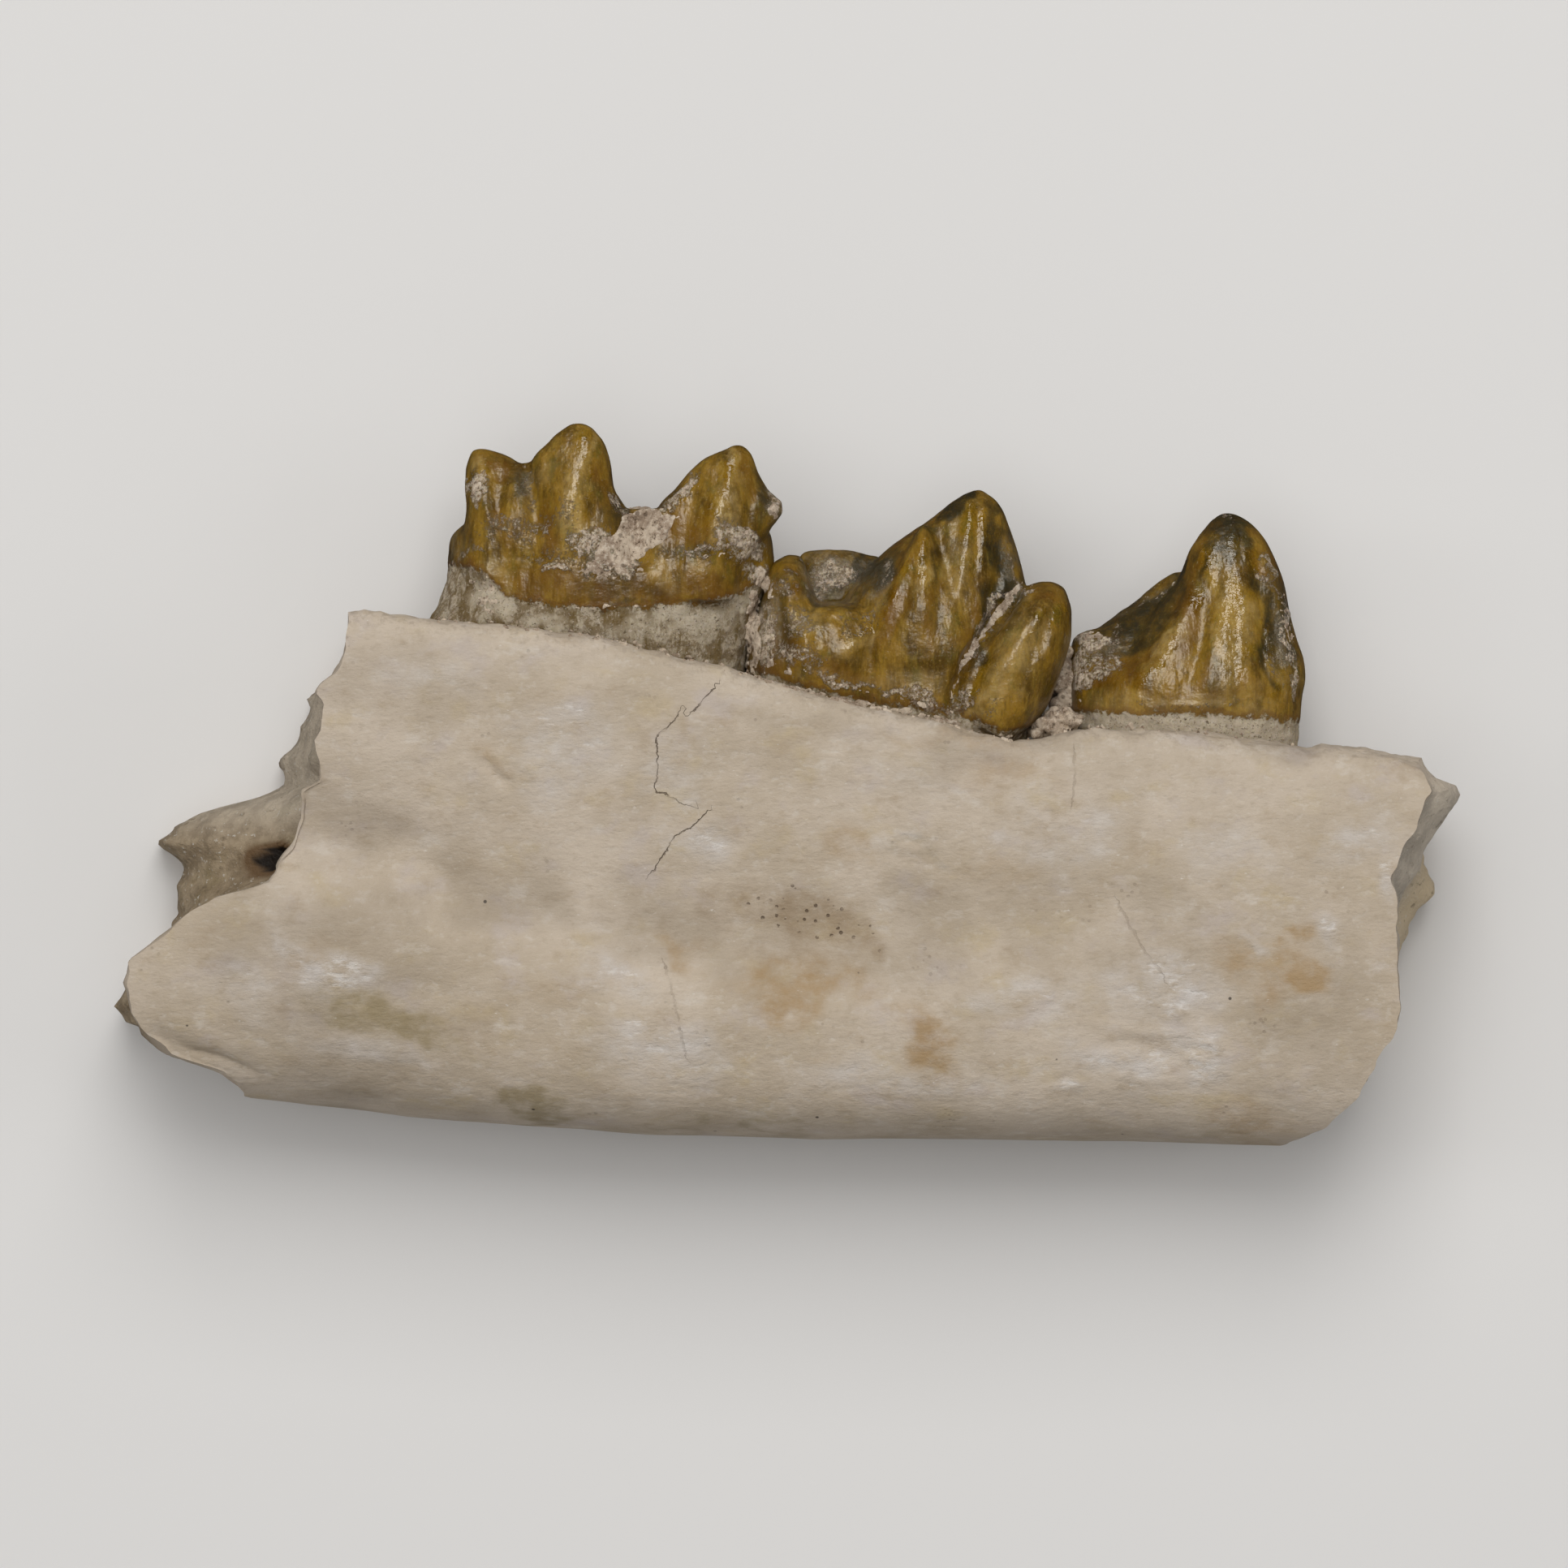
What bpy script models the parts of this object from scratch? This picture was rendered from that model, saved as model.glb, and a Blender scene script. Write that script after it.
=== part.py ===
"""Piece of the fossil left lower jaw of a small deer-like animal, with three cheek teeth.

The jaw lies on its cheek side. +X runs to the front of the jaw, +Y to the tooth tips, +Z up out of the
tongue side, which is the side that shows. The working unit is the millimetre, and the meshes are turned
into metres when they are finished. The origin is the middle of the footprint.
"""

import math

import bmesh
import bpy
import numpy as np
from mathutils import Matrix, Vector

# Driving sizes, in millimetres
MM = 0.001
MID_Z = 2.8
HALF_THICKNESS = 2.9
SEAT_GAP = 0.3
TOOTH_VOXEL = 0.13
CUTTER_VOXEL = 0.2
BONE_VOXEL = 0.14
BONE_STATIONS = 84
BONE_RING = 84
CAP_RINGS = 12
CAP_MIDDLE = 0.03
RIM_STEPS = 12
CUSP_LEVELS = 26
CUSP_SEGMENTS = 28
CUSP_POWER = 2.3
CRESCENT_STATIONS = 17
SMOOTHING = 0.5
FADE_SHARE = 0.25
REST_LAYER = 0.02
SHARP_ANGLE = math.radians(40)
BONE_TRIANGLES = 4800
MOLAR_TRIANGLES = 2100
REAR_PREMOLAR_TRIANGLES = 1700
FRONT_PREMOLAR_TRIANGLES = 1100

# Borders of the bone from rear to front, each point (x, y)
TOP_EDGE = [(-14.2, 3.5), (-8.7, 3.45), (-8.1, 3.43), (-7.3, 3.31), (-6.0, 3.23), (-4.4, 3.02),
            (-3.4, 2.86), (-2.2, 2.56), (-1.4, 2.38), (-0.5, 2.12), (0.3, 1.89), (1.5, 1.59),
            (3.0, 1.31), (3.8, 1.05), (4.5, 0.9), (5.2, 0.97), (5.9, 1.15), (7.5, 1.1), (8.5, 1.05),
            (10.0, 0.85), (10.5, 0.75), (10.75, 0.85), (11.2, 0.8), (12.0, 0.69), (12.7, 0.56),
            (13.1, 0.31), (14.2, 0.2)]
BOTTOM_EDGE = [(-14.2, -5.96), (-10.8, -6.33), (-9.3, -6.48), (-7.7, -6.66), (-6.0, -6.79),
               (-4.4, -6.92), (-2.8, -7.04), (0.5, -7.14), (3.8, -7.14), (7.1, -7.22), (10.0, -7.29),
               (14.2, -7.33)]

# Broken edges of the two bone plates, each point (x, y) from top to bottom
REAR_EDGE_NEAR = [(-8.75, 3.5), (-8.79, 2.77), (-9.0, 2.2), (-9.34, 1.85), (-9.28, 1.21), (-9.49, 0.92),
                  (-9.3, 0.3), (-9.28, 0.07), (-9.64, -0.08), (-9.64, -0.64), (-9.92, -1.21),
                  (-10.2, -1.64), (-10.31, -1.95), (-10.66, -2.07), (-11.35, -2.22), (-12.17, -2.71),
                  (-13.09, -3.49), (-13.23, -3.99), (-13.02, -4.64), (-12.84, -5.02), (-12.41, -5.38),
                  (-11.77, -5.6), (-11.12, -5.76), (-10.46, -6.04), (-10.2, -6.4)]
REAR_EDGE_FAR = [(-8.72, 3.5), (-8.82, 2.77), (-9.07, 2.56), (-9.56, 1.85), (-9.77, 1.21), (-10.16, 0.56),
                 (-10.2, -0.08), (-10.77, -0.3), (-11.84, -0.57), (-12.41, -0.85), (-12.69, -1.15),
                 (-12.35, -1.58), (-12.2, -2.35), (-12.2, -2.67), (-12.95, -3.49), (-13.2, -4.05),
                 (-13.56, -4.5), (-13.34, -4.84), (-12.84, -5.02), (-12.41, -5.38), (-11.77, -5.65),
                 (-11.13, -6.05), (-10.77, -6.4)]
FRONT_EDGE_NEAR = [(12.71, 0.61), (12.81, 0.33), (12.95, -0.16), (12.71, -0.67), (12.38, -1.13),
                   (12.25, -1.59), (12.17, -2.23), (12.25, -3.02), (12.23, -3.92), (12.3, -4.35),
                   (12.23, -4.89), (12.05, -5.35), (11.66, -5.99), (11.34, -6.35), (10.82, -6.81),
                   (10.25, -7.24), (9.97, -7.35)]
FRONT_EDGE_MIDDLE = [(12.71, 0.61), (12.84, 0.36), (13.18, 0.07), (13.48, 0.06), (13.54, -0.13),
                     (13.41, -0.54), (12.95, -1.26), (12.68, -1.77), (12.31, -2.35), (12.2, -3.92),
                     (12.25, -4.48), (12.02, -5.3), (11.28, -6.37), (10.46, -7.01), (9.97, -7.35)]
FRONT_EDGE_FAR = [(12.59, 0.61), (12.81, 0.28), (13.04, -0.13), (12.87, -1.12), (12.95, -1.53),
                  (13.17, -2.0), (13.15, -2.23), (12.81, -2.56), (12.28, -3.59), (12.05, -4.64),
                  (11.86, -5.3), (11.17, -6.28), (10.3, -7.04), (9.8, -7.35)]

# How deep the break is hollowed behind the near plate, as (y, depth)
REAR_HOLLOW = [(-6.4, -0.6), (-5.8, -0.25), (-5.0, 0.0), (-3.2, 0.1), (-2.2, 0.25), (-0.8, 0.45),
               (0.8, 0.35), (2.2, 0.2), (3.5, 0.05)]

# Cross-sections of the bone, each point (depth from -1 far to 1 near, height from -1 to 1)
REAR_SECTION = [(0.86, 1.0), (0.98, 0.86), (0.96, 0.5), (0.92, 0.12), (1.0, -0.28), (0.94, -0.64),
                (0.68, -0.9), (0.12, -1.0), (-0.42, -0.93), (-0.82, -0.68), (-1.03, -0.25), (-1.03, 0.3),
                (-0.96, 0.75), (-0.78, 0.95), (-0.3, 0.94), (0.35, 0.95)]
FRONT_SECTION = [(0.66, 0.99), (0.86, 0.88), (0.93, 0.5), (0.93, 0.1), (0.93, -0.3), (0.88, -0.67),
                 (0.6, -0.92), (0.08, -1.0), (-0.42, -0.95), (-0.8, -0.7), (-1.02, -0.28), (-1.03, 0.2),
                 (-0.9, 0.7), (-0.66, 0.93), (-0.3, 0.97), (0.25, 0.98)]
FRONT_SECTION_FROM = 3.0
FRONT_SECTION_FULL = 10.5

# Molar: rows are (y, x rear, x front), depths are (y, z far, z near)
MOLAR_CUSPS = [
    ([(6.83, -1.06, -0.88), (6.74, -1.29, -0.76), (6.6, -1.63, -0.66), (6.27, -1.99, -0.55),
      (6.02, -2.16, -0.4), (5.69, -2.5, -0.25), (5.2, -2.75, -0.3), (4.9, -2.8, -0.5),
      (4.4, -2.91, -0.75), (3.7, -2.99, -0.85)],
     [(6.83, 3.5, 3.8), (6.6, 3.3, 3.97), (6.0, 2.9, 4.18), (5.2, 2.5, 4.4), (3.7, 2.2, 4.5)]),
    ([(7.29, -4.29, -4.06), (7.2, -4.44, -3.91), (7.1, -4.59, -3.8), (6.88, -4.8, -3.63),
      (6.65, -5.05, -3.55), (6.43, -5.16, -3.5), (6.02, -5.21, -3.45), (5.61, -5.28, -3.24),
      (5.2, -5.37, -2.99), (4.4, -5.54, -2.75), (3.7, -5.62, -2.67)],
     [(7.29, 3.5, 3.78), (7.1, 3.35, 3.96), (6.6, 3.1, 4.15), (6.0, 2.8, 4.33), (5.2, 2.5, 4.5),
      (3.7, 2.2, 4.6)]),
    ([(6.79, -6.23, -6.06), (6.73, -6.33, -5.83), (6.6, -6.39, -5.51), (6.35, -6.46, -5.21),
      (6.02, -6.47, -5.13), (5.61, -6.44, -5.05), (5.0, -6.52, -4.88), (4.4, -6.6, -4.75), (3.6, -6.5, -4.7)],
     [(6.79, 3.0, 3.3), (6.5, 2.7, 3.6), (6.0, 2.4, 3.9), (5.0, 2.1, 4.25), (4.4, 1.9, 4.3),
      (3.6, 1.9, 4.05)]),
    ([(5.5, -5.9, -0.9), (5.28, -6.49, -0.8), (4.96, -6.77, -0.8), (4.38, -6.83, -0.8),
      (3.72, -7.0, -0.82), (3.31, -7.23, -0.86), (2.74, -7.26, -0.9), (1.92, -7.1, -0.98),
      (1.1, -6.85, -1.15)],
     [(5.5, 1.7, 4.15), (5.0, 1.15, 4.35), (4.4, 0.95, 4.5), (3.3, 0.85, 4.6), (2.7, 0.9, 4.55),
      (1.9, 1.1, 4.35), (1.1, 1.3, 4.1)]),
    ([(5.85, -0.55, -0.25), (5.7, -0.7, -0.08), (5.5, -0.75, -0.04), (5.35, -0.7, -0.15),
      (5.2, -0.65, -0.3)],
     [(5.85, 3.4, 3.7), (5.5, 3.2, 3.95), (5.2, 3.2, 3.9)]),
]
MOLAR_ROOTS = [
    ([(1.5, -3.3, -1.15), (0.5, -3.0, -1.3), (-0.8, -2.7, -1.5), (-2.0, -2.4, -1.8)],
     [(1.5, 1.4, 4.0), (-0.8, 1.9, 3.6), (-2.0, 2.4, 3.1)]),
    ([(1.5, -6.9, -4.7), (0.5, -6.7, -5.0), (-0.8, -6.5, -5.3), (-2.0, -6.2, -5.6)],
     [(1.5, 1.4, 4.0), (-0.8, 1.9, 3.6), (-2.0, 2.4, 3.1)]),
]
# Crescent crests of the cheek side: path points (x, z, y of the crest)
MOLAR_CRESCENTS = [
    [(-0.95, 3.0, 4.9), (-1.1, 2.0, 5.4), (-1.75, 1.2, 5.95), (-2.5, 1.8, 5.5), (-2.95, 2.9, 5.1)],
    [(-3.35, 2.8, 5.1), (-3.75, 1.8, 5.5), (-4.55, 1.15, 6.05), (-5.5, 1.7, 5.65), (-6.1, 2.6, 5.4)],
]
CRESCENT_BASE_Y = 3.6
CRESCENT_HALF_TOP = 0.12
CRESCENT_HALF_BASE = 0.5
CRESCENT_SHOULDER = 0.15

# Rear premolar
REAR_PREMOLAR_CUSPS = [
    ([(5.96, 3.81, 3.96), (5.89, 3.65, 4.08), (5.76, 3.42, 4.24), (5.53, 3.16, 4.41), (5.28, 2.8, 4.5),
      (5.0, 2.37, 4.6), (4.63, 1.93, 4.72), (4.22, 1.52, 4.83), (3.72, 1.19, 4.93), (3.07, 0.94, 5.0),
      (2.25, 0.86, 5.05), (1.43, 1.03, 5.0), (0.61, 1.27, 4.88)],
     [(5.96, 2.6, 2.95), (5.7, 2.4, 3.22), (5.3, 2.1, 3.43), (4.6, 1.75, 3.7), (4.0, 1.55, 3.92),
      (3.5, 1.4, 4.09), (3.0, 1.3, 4.21), (2.2, 1.3, 4.32), (1.4, 1.45, 4.32), (0.6, 1.6, 4.2)]),
    ([(5.25, 2.7, 2.86), (5.0, 2.58, 2.98), (4.5, 2.33, 3.22), (3.9, 2.03, 3.5), (3.2, 1.7, 3.85),
      (2.6, 1.5, 4.1), (2.0, 1.5, 4.2)],
     [(5.25, 3.2, 3.55), (5.0, 3.0, 3.8), (4.5, 2.9, 4.0), (3.9, 2.8, 4.2), (3.2, 2.8, 4.36),
      (2.6, 2.8, 4.38), (2.0, 2.8, 4.2)]),
    ([(3.7, 0.3, 1.5), (3.6, -0.05, 2.0), (3.4, -0.42, 2.17), (2.74, -0.56, 2.17), (2.08, -0.56, 2.17),
      (1.1, -0.37, 2.17)],
     [(3.7, 2.2, 3.3), (3.6, 1.9, 3.8), (3.4, 1.7, 4.08), (3.1, 1.5, 4.28), (2.7, 1.4, 4.38),
      (2.1, 1.4, 4.35), (1.1, 1.6, 4.1)]),
    ([(4.64, 0.0, 0.3), (4.51, -0.19, 0.37), (4.22, -0.38, 0.47), (3.81, -0.45, 0.62),
      (3.4, -0.5, 0.8), (2.9, -0.52, 0.8)],
     [(4.64, 2.5, 3.1), (4.4, 2.2, 3.5), (3.8, 1.8, 3.95), (3.4, 1.6, 4.12), (2.9, 1.6, 4.1)]),
    ([(4.76, 0.53, 1.19), (4.71, 0.37, 1.55), (4.55, 0.27, 2.01), (4.05, 0.27, 2.34),
      (3.4, 0.21, 2.5)],
     [(4.76, 1.75, 2.05), (4.55, 1.6, 2.3), (4.05, 1.4, 2.5), (3.4, 1.3, 2.7)]),
    ([(4.09, 5.13, 5.42), (3.99, 4.83, 5.62), (3.81, 4.64, 5.7), (3.48, 4.41, 5.78), (3.07, 4.08, 5.78),
      (2.66, 3.88, 5.7), (2.25, 3.68, 5.56), (1.92, 3.55, 5.43), (1.59, 3.49, 5.28), (1.26, 3.54, 5.05),
      (1.02, 3.9, 4.77), (0.85, 4.27, 4.5)],
     [(4.09, 2.9, 3.5), (3.8, 2.5, 4.0), (3.4, 2.1, 4.3), (2.9, 1.9, 4.45), (2.2, 1.8, 4.6),
      (1.6, 1.9, 4.6), (1.2, 2.2, 4.5), (0.85, 2.8, 4.3)]),
]
REAR_PREMOLAR_ROOTS = [
    ([(1.2, 2.7, 4.95), (0.0, 3.0, 4.7), (-1.2, 3.3, 4.5), (-2.4, 3.6, 4.2)],
     [(1.2, 1.6, 4.2), (-1.2, 2.0, 3.6), (-2.4, 2.4, 3.1)]),
    ([(1.5, -0.4, 1.6), (0.2, -0.2, 1.4), (-1.0, 0.1, 1.2), (-2.2, 0.4, 0.9)],
     [(1.5, 1.6, 4.1), (-1.0, 2.0, 3.6), (-2.2, 2.4, 3.1)]),
]

# Front premolar
FRONT_PREMOLAR_CUSPS = [
    ([(5.48, 8.87, 9.07), (5.4, 8.7, 9.23), (5.23, 8.54, 9.46), (4.99, 8.34, 9.66), (4.71, 8.16, 9.84),
      (4.38, 8.05, 9.98), (3.97, 7.84, 10.12), (3.48, 7.42, 10.21), (2.99, 7.06, 10.33),
      (2.49, 6.6, 10.48), (2.17, 6.19, 10.51), (1.76, 6.0, 10.44), (1.35, 5.95, 10.41),
      (0.77, 5.98, 10.38), (0.11, 6.11, 10.21)],
     [(5.48, 2.45, 2.65), (5.3, 2.3, 2.88), (5.0, 2.1, 3.1), (4.4, 1.85, 3.36), (3.7, 1.65, 3.62),
      (3.0, 1.5, 3.88), (2.4, 1.45, 4.09), (1.9, 1.45, 4.24), (1.5, 1.45, 4.24), (0.8, 1.6, 4.1),
      (0.1, 1.8, 3.9)]),
    ([(4.3, 7.87, 8.25), (4.13, 7.59, 8.41), (3.81, 7.18, 8.57), (3.48, 6.77, 8.74), (3.2, 6.41, 8.74),
      (3.04, 6.18, 8.74), (2.74, 6.12, 8.74), (2.08, 5.98, 8.74), (1.1, 5.95, 8.74)],
     [(4.3, 1.8, 2.3), (3.8, 1.6, 2.6), (3.2, 1.5, 3.0), (2.74, 1.5, 3.3), (2.0, 1.5, 3.75),
      (1.1, 1.6, 3.8)]),
]
FRONT_PREMOLAR_ROOTS = [
    ([(0.8, 8.3, 10.3), (-0.5, 8.5, 10.0), (-1.6, 8.8, 9.8), (-2.6, 9.1, 9.5)],
     [(0.8, 1.7, 4.0), (-1.6, 2.1, 3.5), (-2.6, 2.4, 3.1)]),
    ([(0.8, 6.0, 7.8), (0.0, 6.1, 7.5), (-1.1, 6.4, 7.3), (-2.2, 6.6, 7.0)],
     [(0.8, 1.7, 4.0), (-1.1, 2.1, 3.5), (-2.2, 2.4, 3.1)]),
]

# Strokes worked into a surface: (points (x, y), side, width, height); side 1 is the tongue side
MOLAR_STROKES = [
    ([(-3.15, 5.6), (-3.15, 4.6), (-3.2, 3.2)], -1, 0.35, -0.4),
    ([(-2.95, 5.4), (-3.0, 4.6)], 1, 0.3, -0.35),
    ([(-5.35, 6.2), (-5.4, 5.4), (-5.3, 4.6)], 1, 0.2, -0.25),
    ([(-0.95, 6.6), (-1.15, 5.6), (-1.3, 4.6)], 1, 0.2, 0.1),
    ([(-4.0, 7.0), (-4.2, 6.2), (-4.4, 5.3)], 1, 0.22, 0.1),
    ([(-6.9, 3.2), (-5.0, 3.55), (-2.9, 3.6), (-1.2, 3.7)], 1, 0.14, -0.08),
]
REAR_PREMOLAR_STROKES = [
    ([(2.78, 5.1), (2.72, 4.38), (2.3, 3.7), (1.85, 3.0), (1.35, 2.65), (0.86, 2.5)], 1, 0.2, 0.16),
    ([(3.35, 5.2), (3.4, 4.4), (3.3, 3.4)], 1, 0.2, -0.12),
    ([(4.35, 5.0), (4.5, 4.2), (4.2, 3.4)], 1, 0.25, -0.2),
    ([(4.55, 3.7), (4.0, 3.0), (3.6, 2.3), (3.45, 1.7)], 1, 0.14, -0.25),
    ([(1.3, 4.6), (1.35, 3.6), (1.4, 2.2)], -1, 0.3, -0.25),
]
FRONT_PREMOLAR_STROKES = [
    ([(8.2, 4.5), (7.95, 3.8), (7.4, 2.9), (6.7, 2.2), (6.2, 1.85)], 1, 0.18, 0.14),
    ([(8.3, 3.8), (8.1, 2.8), (7.8, 1.9)], 1, 0.25, -0.08),
    ([(9.85, 3.9), (10.05, 3.0), (10.1, 2.2)], 1, 0.2, -0.15),
]
BONE_STROKES = [
    ([(-11.5, -0.3), (-9.5, -0.9), (-7.7, -1.5), (-5.4, -2.45), (-2.7, -2.9), (-0.1, -3.25), (2.5, -3.4),
      (4.5, -3.5)], 1, 1.1, -0.32),
    ([(-6.2, 0.6), (-5.7, 0.0)], 1, 0.12, -0.06),
    ([(-13.0, -4.9), (-11.6, -5.5), (-10.2, -5.9)], 1, 0.25, -0.12),
    ([(0.0, 1.55), (2.2, 1.1), (4.4, 0.6), (6.0, 0.85)], 1, 0.25, 0.06),
    ([(-6.0, -6.0), (0.0, -6.3), (8.0, -6.4)], 1, 0.6, 0.08),
]
# Holes in the broken rear face: (x, y, z) and radius
REAR_HOLES = [((-10.25, -1.45, 3.0), 0.24), ((-9.5, 0.0, 3.4), 0.17)]
HOLE_STRETCH = 4.0


def clear_scene():
    """Remove whatever the scene holds."""
    for obj in list(bpy.data.objects):
        bpy.data.objects.remove(obj, do_unlink=True)


def smooth_values(knots, values, at):
    """Values at the given places, on a curve through the knots that never overshoots them."""
    order = np.argsort(knots)
    knots = np.asarray(knots, float)[order]
    values = np.asarray(values, float)[order]
    steps = np.diff(knots)
    slopes = np.diff(values) / steps
    tangents = np.zeros(len(knots))
    same_way = slopes[1:] * slopes[:-1] > 0
    inner = 2 * slopes[1:] * slopes[:-1] / np.where(same_way, slopes[1:] + slopes[:-1], 1)
    tangents[1:-1] = np.where(same_way, inner, 0)
    tangents[0] = slopes[0]
    tangents[-1] = slopes[-1]
    at = np.clip(at, knots[0], knots[-1])
    span = np.clip(np.searchsorted(knots, at) - 1, 0, len(steps) - 1)
    length = steps[span]
    t = (at - knots[span]) / length
    return (values[span] * (1 + 2 * t) * (1 - t) ** 2 + values[span + 1] * t * t * (3 - 2 * t)
            + length * tangents[span] * t * (1 - t) ** 2 + length * tangents[span + 1] * t * t * (t - 1))


def edge_value(points, at, key, value):
    """Straight-line reading of a border: coordinate `value` where coordinate `key` is `at`."""
    points = sorted(points, key=lambda point: point[key])
    return np.interp(at, [p[key] for p in points], [p[value] for p in points])


def smooth_step(low, high, value):
    """Rise from 0 to 1 between low and high."""
    t = np.clip((value - low) / (high - low), 0, 1)
    return t * t * (3 - 2 * t)


def closed_curve(points, count):
    """Evenly spaced points on a smooth closed curve through the given ones."""
    points = np.asarray(points, float)
    t = np.linspace(0, 1, 12, endpoint=False)[:, None]
    spans = []
    for index in range(len(points)):
        a, b, c, d = (points[(index + k) % len(points)] for k in (-1, 0, 1, 2))
        spans.append(0.5 * (2 * b + (c - a) * t + (2 * a - 5 * b + 4 * c - d) * t ** 2
                            + (3 * b - a - 3 * c + d) * t ** 3))
    fine = np.vstack(spans + [spans[0][:1]])
    along = np.concatenate([[0], np.cumsum(np.linalg.norm(np.diff(fine, axis=0), axis=1))])
    at = np.linspace(0, along[-1], count, endpoint=False)
    return np.stack([np.interp(at, along, fine[:, k]) for k in range(2)], axis=1)


def new_object(name, mesh):
    """Object with this mesh in the scene's collection."""
    obj = bpy.data.objects.new(name, mesh)
    bpy.context.scene.collection.objects.link(obj)
    return obj


def mesh_of_rings(bm, rings):
    """Add a closed skin over a stack of rings, each an array of points."""
    loops = [[bm.verts.new(point) for point in ring] for ring in rings]
    for lower, upper in zip(loops, loops[1:]):
        for i in range(len(lower)):
            j = (i + 1) % len(lower)
            bm.faces.new((lower[i], lower[j], upper[j], upper[i]))
    bm.faces.new(loops[0][::-1])
    bm.faces.new(loops[-1])


def cusp_rings(rows, depths, grow):
    """Rings of one cusp: level ovals from its tip down, grown all round by `grow`."""
    heights = [row[0] for row in rows]
    levels = np.linspace(max(heights), min(heights), CUSP_LEVELS)
    rear = smooth_values(heights, [row[1] for row in rows], levels) - grow
    front = smooth_values(heights, [row[2] for row in rows], levels) + grow
    deep = [row[0] for row in depths]
    far = smooth_values(deep, [row[1] for row in depths], levels) - grow
    near = smooth_values(deep, [row[2] for row in depths], levels) + grow
    turn = np.linspace(0, 2 * math.pi, CUSP_SEGMENTS, endpoint=False)
    across = np.sign(np.cos(turn)) * np.abs(np.cos(turn)) ** (2 / CUSP_POWER)
    through = np.sign(np.sin(turn)) * np.abs(np.sin(turn)) ** (2 / CUSP_POWER)
    levels = levels + np.linspace(grow, -grow, CUSP_LEVELS)
    return [np.stack([(a + b) / 2 + (b - a) / 2 * across, np.full(CUSP_SEGMENTS, y),
                      (c + d) / 2 + (d - c) / 2 * through], axis=1)
            for y, a, b, c, d in zip(levels, rear, front, far, near)]


def crescent_rings(path, grow):
    """Rings of a curved crest that stands along a path seen from above the tooth."""
    path = np.asarray(path, float)
    index = np.arange(len(path))
    fine = np.linspace(0, len(path) - 1, CRESCENT_STATIONS)
    x, z, top = (smooth_values(index, path[:, k], fine) for k in range(3))
    along = np.stack([np.gradient(x), np.gradient(z)], axis=1)
    along /= np.linalg.norm(along, axis=1)[:, None]
    wide = CRESCENT_HALF_BASE + grow
    slim = CRESCENT_HALF_TOP + grow
    rings = []
    for k in range(len(fine)):
        crest = top[k] + grow
        shoulder = crest - CRESCENT_SHOULDER
        profile = [(-wide, CRESCENT_BASE_Y), (-slim, shoulder), (0.0, crest), (slim, shoulder),
                   (wide, CRESCENT_BASE_Y)]
        rings.append([(x[k] - along[k, 1] * side, y, z[k] + along[k, 0] * side) for side, y in profile])
    return rings


def baked(obj):
    """Mesh of the object with its modifiers applied, in the object's place."""
    graph = bpy.context.evaluated_depsgraph_get()
    graph.update()
    mesh = bpy.data.meshes.new_from_object(obj.evaluated_get(graph), depsgraph=graph)
    name = obj.name
    bpy.data.objects.remove(obj, do_unlink=True)
    return new_object(name, mesh)


def fused(obj, voxel, softening):
    """Rebuild overlapping shells as one even skin and soften it."""
    fuse = obj.modifiers.new("Fuse", "REMESH")
    fuse.mode = "VOXEL"
    fuse.voxel_size = voxel
    soften = obj.modifiers.new("Soften", "SMOOTH")
    soften.factor = SMOOTHING
    soften.iterations = softening
    return baked(obj)


def tooth_block(name, cusps, crescents, roots, voxel, grow):
    """Cusps, crests and roots fused into one closed solid."""
    bm = bmesh.new()
    for rows, depths in cusps + roots:
        mesh_of_rings(bm, cusp_rings(rows, depths, grow))
    for path in crescents:
        mesh_of_rings(bm, crescent_rings(path, grow))
    bmesh.ops.recalc_face_normals(bm, faces=bm.faces)
    mesh = bpy.data.meshes.new(name)
    bm.to_mesh(mesh)
    bm.free()
    return fused(new_object(name, mesh), voxel, 2)


def points_and_normals(mesh):
    """Vertex positions and normals as arrays."""
    points = np.empty(len(mesh.vertices) * 3, np.float32)
    mesh.vertices.foreach_get("co", points)
    normals = np.empty(len(mesh.vertices) * 3, np.float32)
    mesh.vertex_normals.foreach_get("vector", normals)
    return points.reshape(-1, 3).astype(float), normals.reshape(-1, 3).astype(float)


def near_path(points, path):
    """Distance of each (x, y) point to a broken line, and the share along it."""
    path = np.asarray(path, float)
    lengths = np.linalg.norm(np.diff(path, axis=0), axis=1)
    nearest = np.full(len(points), np.inf)
    share = np.zeros(len(points))
    for a, b, length, start in zip(path, path[1:], lengths, np.cumsum(lengths) - lengths):
        along = np.clip((points - a) @ (b - a) / length ** 2, 0, 1)
        away = np.linalg.norm(points - a - along[:, None] * (b - a), axis=1)
        share = np.where(away < nearest, (start + along * length) / lengths.sum(), share)
        nearest = np.minimum(nearest, away)
    return nearest, share


def work_surface(obj, strokes):
    """Raise ridges and sink grooves along strokes that fade out at both ends."""
    points, normals = points_and_normals(obj.data)
    moved = points.copy()
    for path, side, width, height in strokes:
        away, share = near_path(points[:, :2], path)
        fade = smooth_step(0, FADE_SHARE, share) * smooth_step(1, 1 - FADE_SHARE, share)
        facing = np.clip(normals[:, 2] * side, 0, 1)
        moved += normals * (height * fade * facing * np.exp(-(away / width) ** 2))[:, None]
    obj.data.vertices.foreach_set("co", moved.astype(np.float32).ravel())
    obj.data.update()


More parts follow.
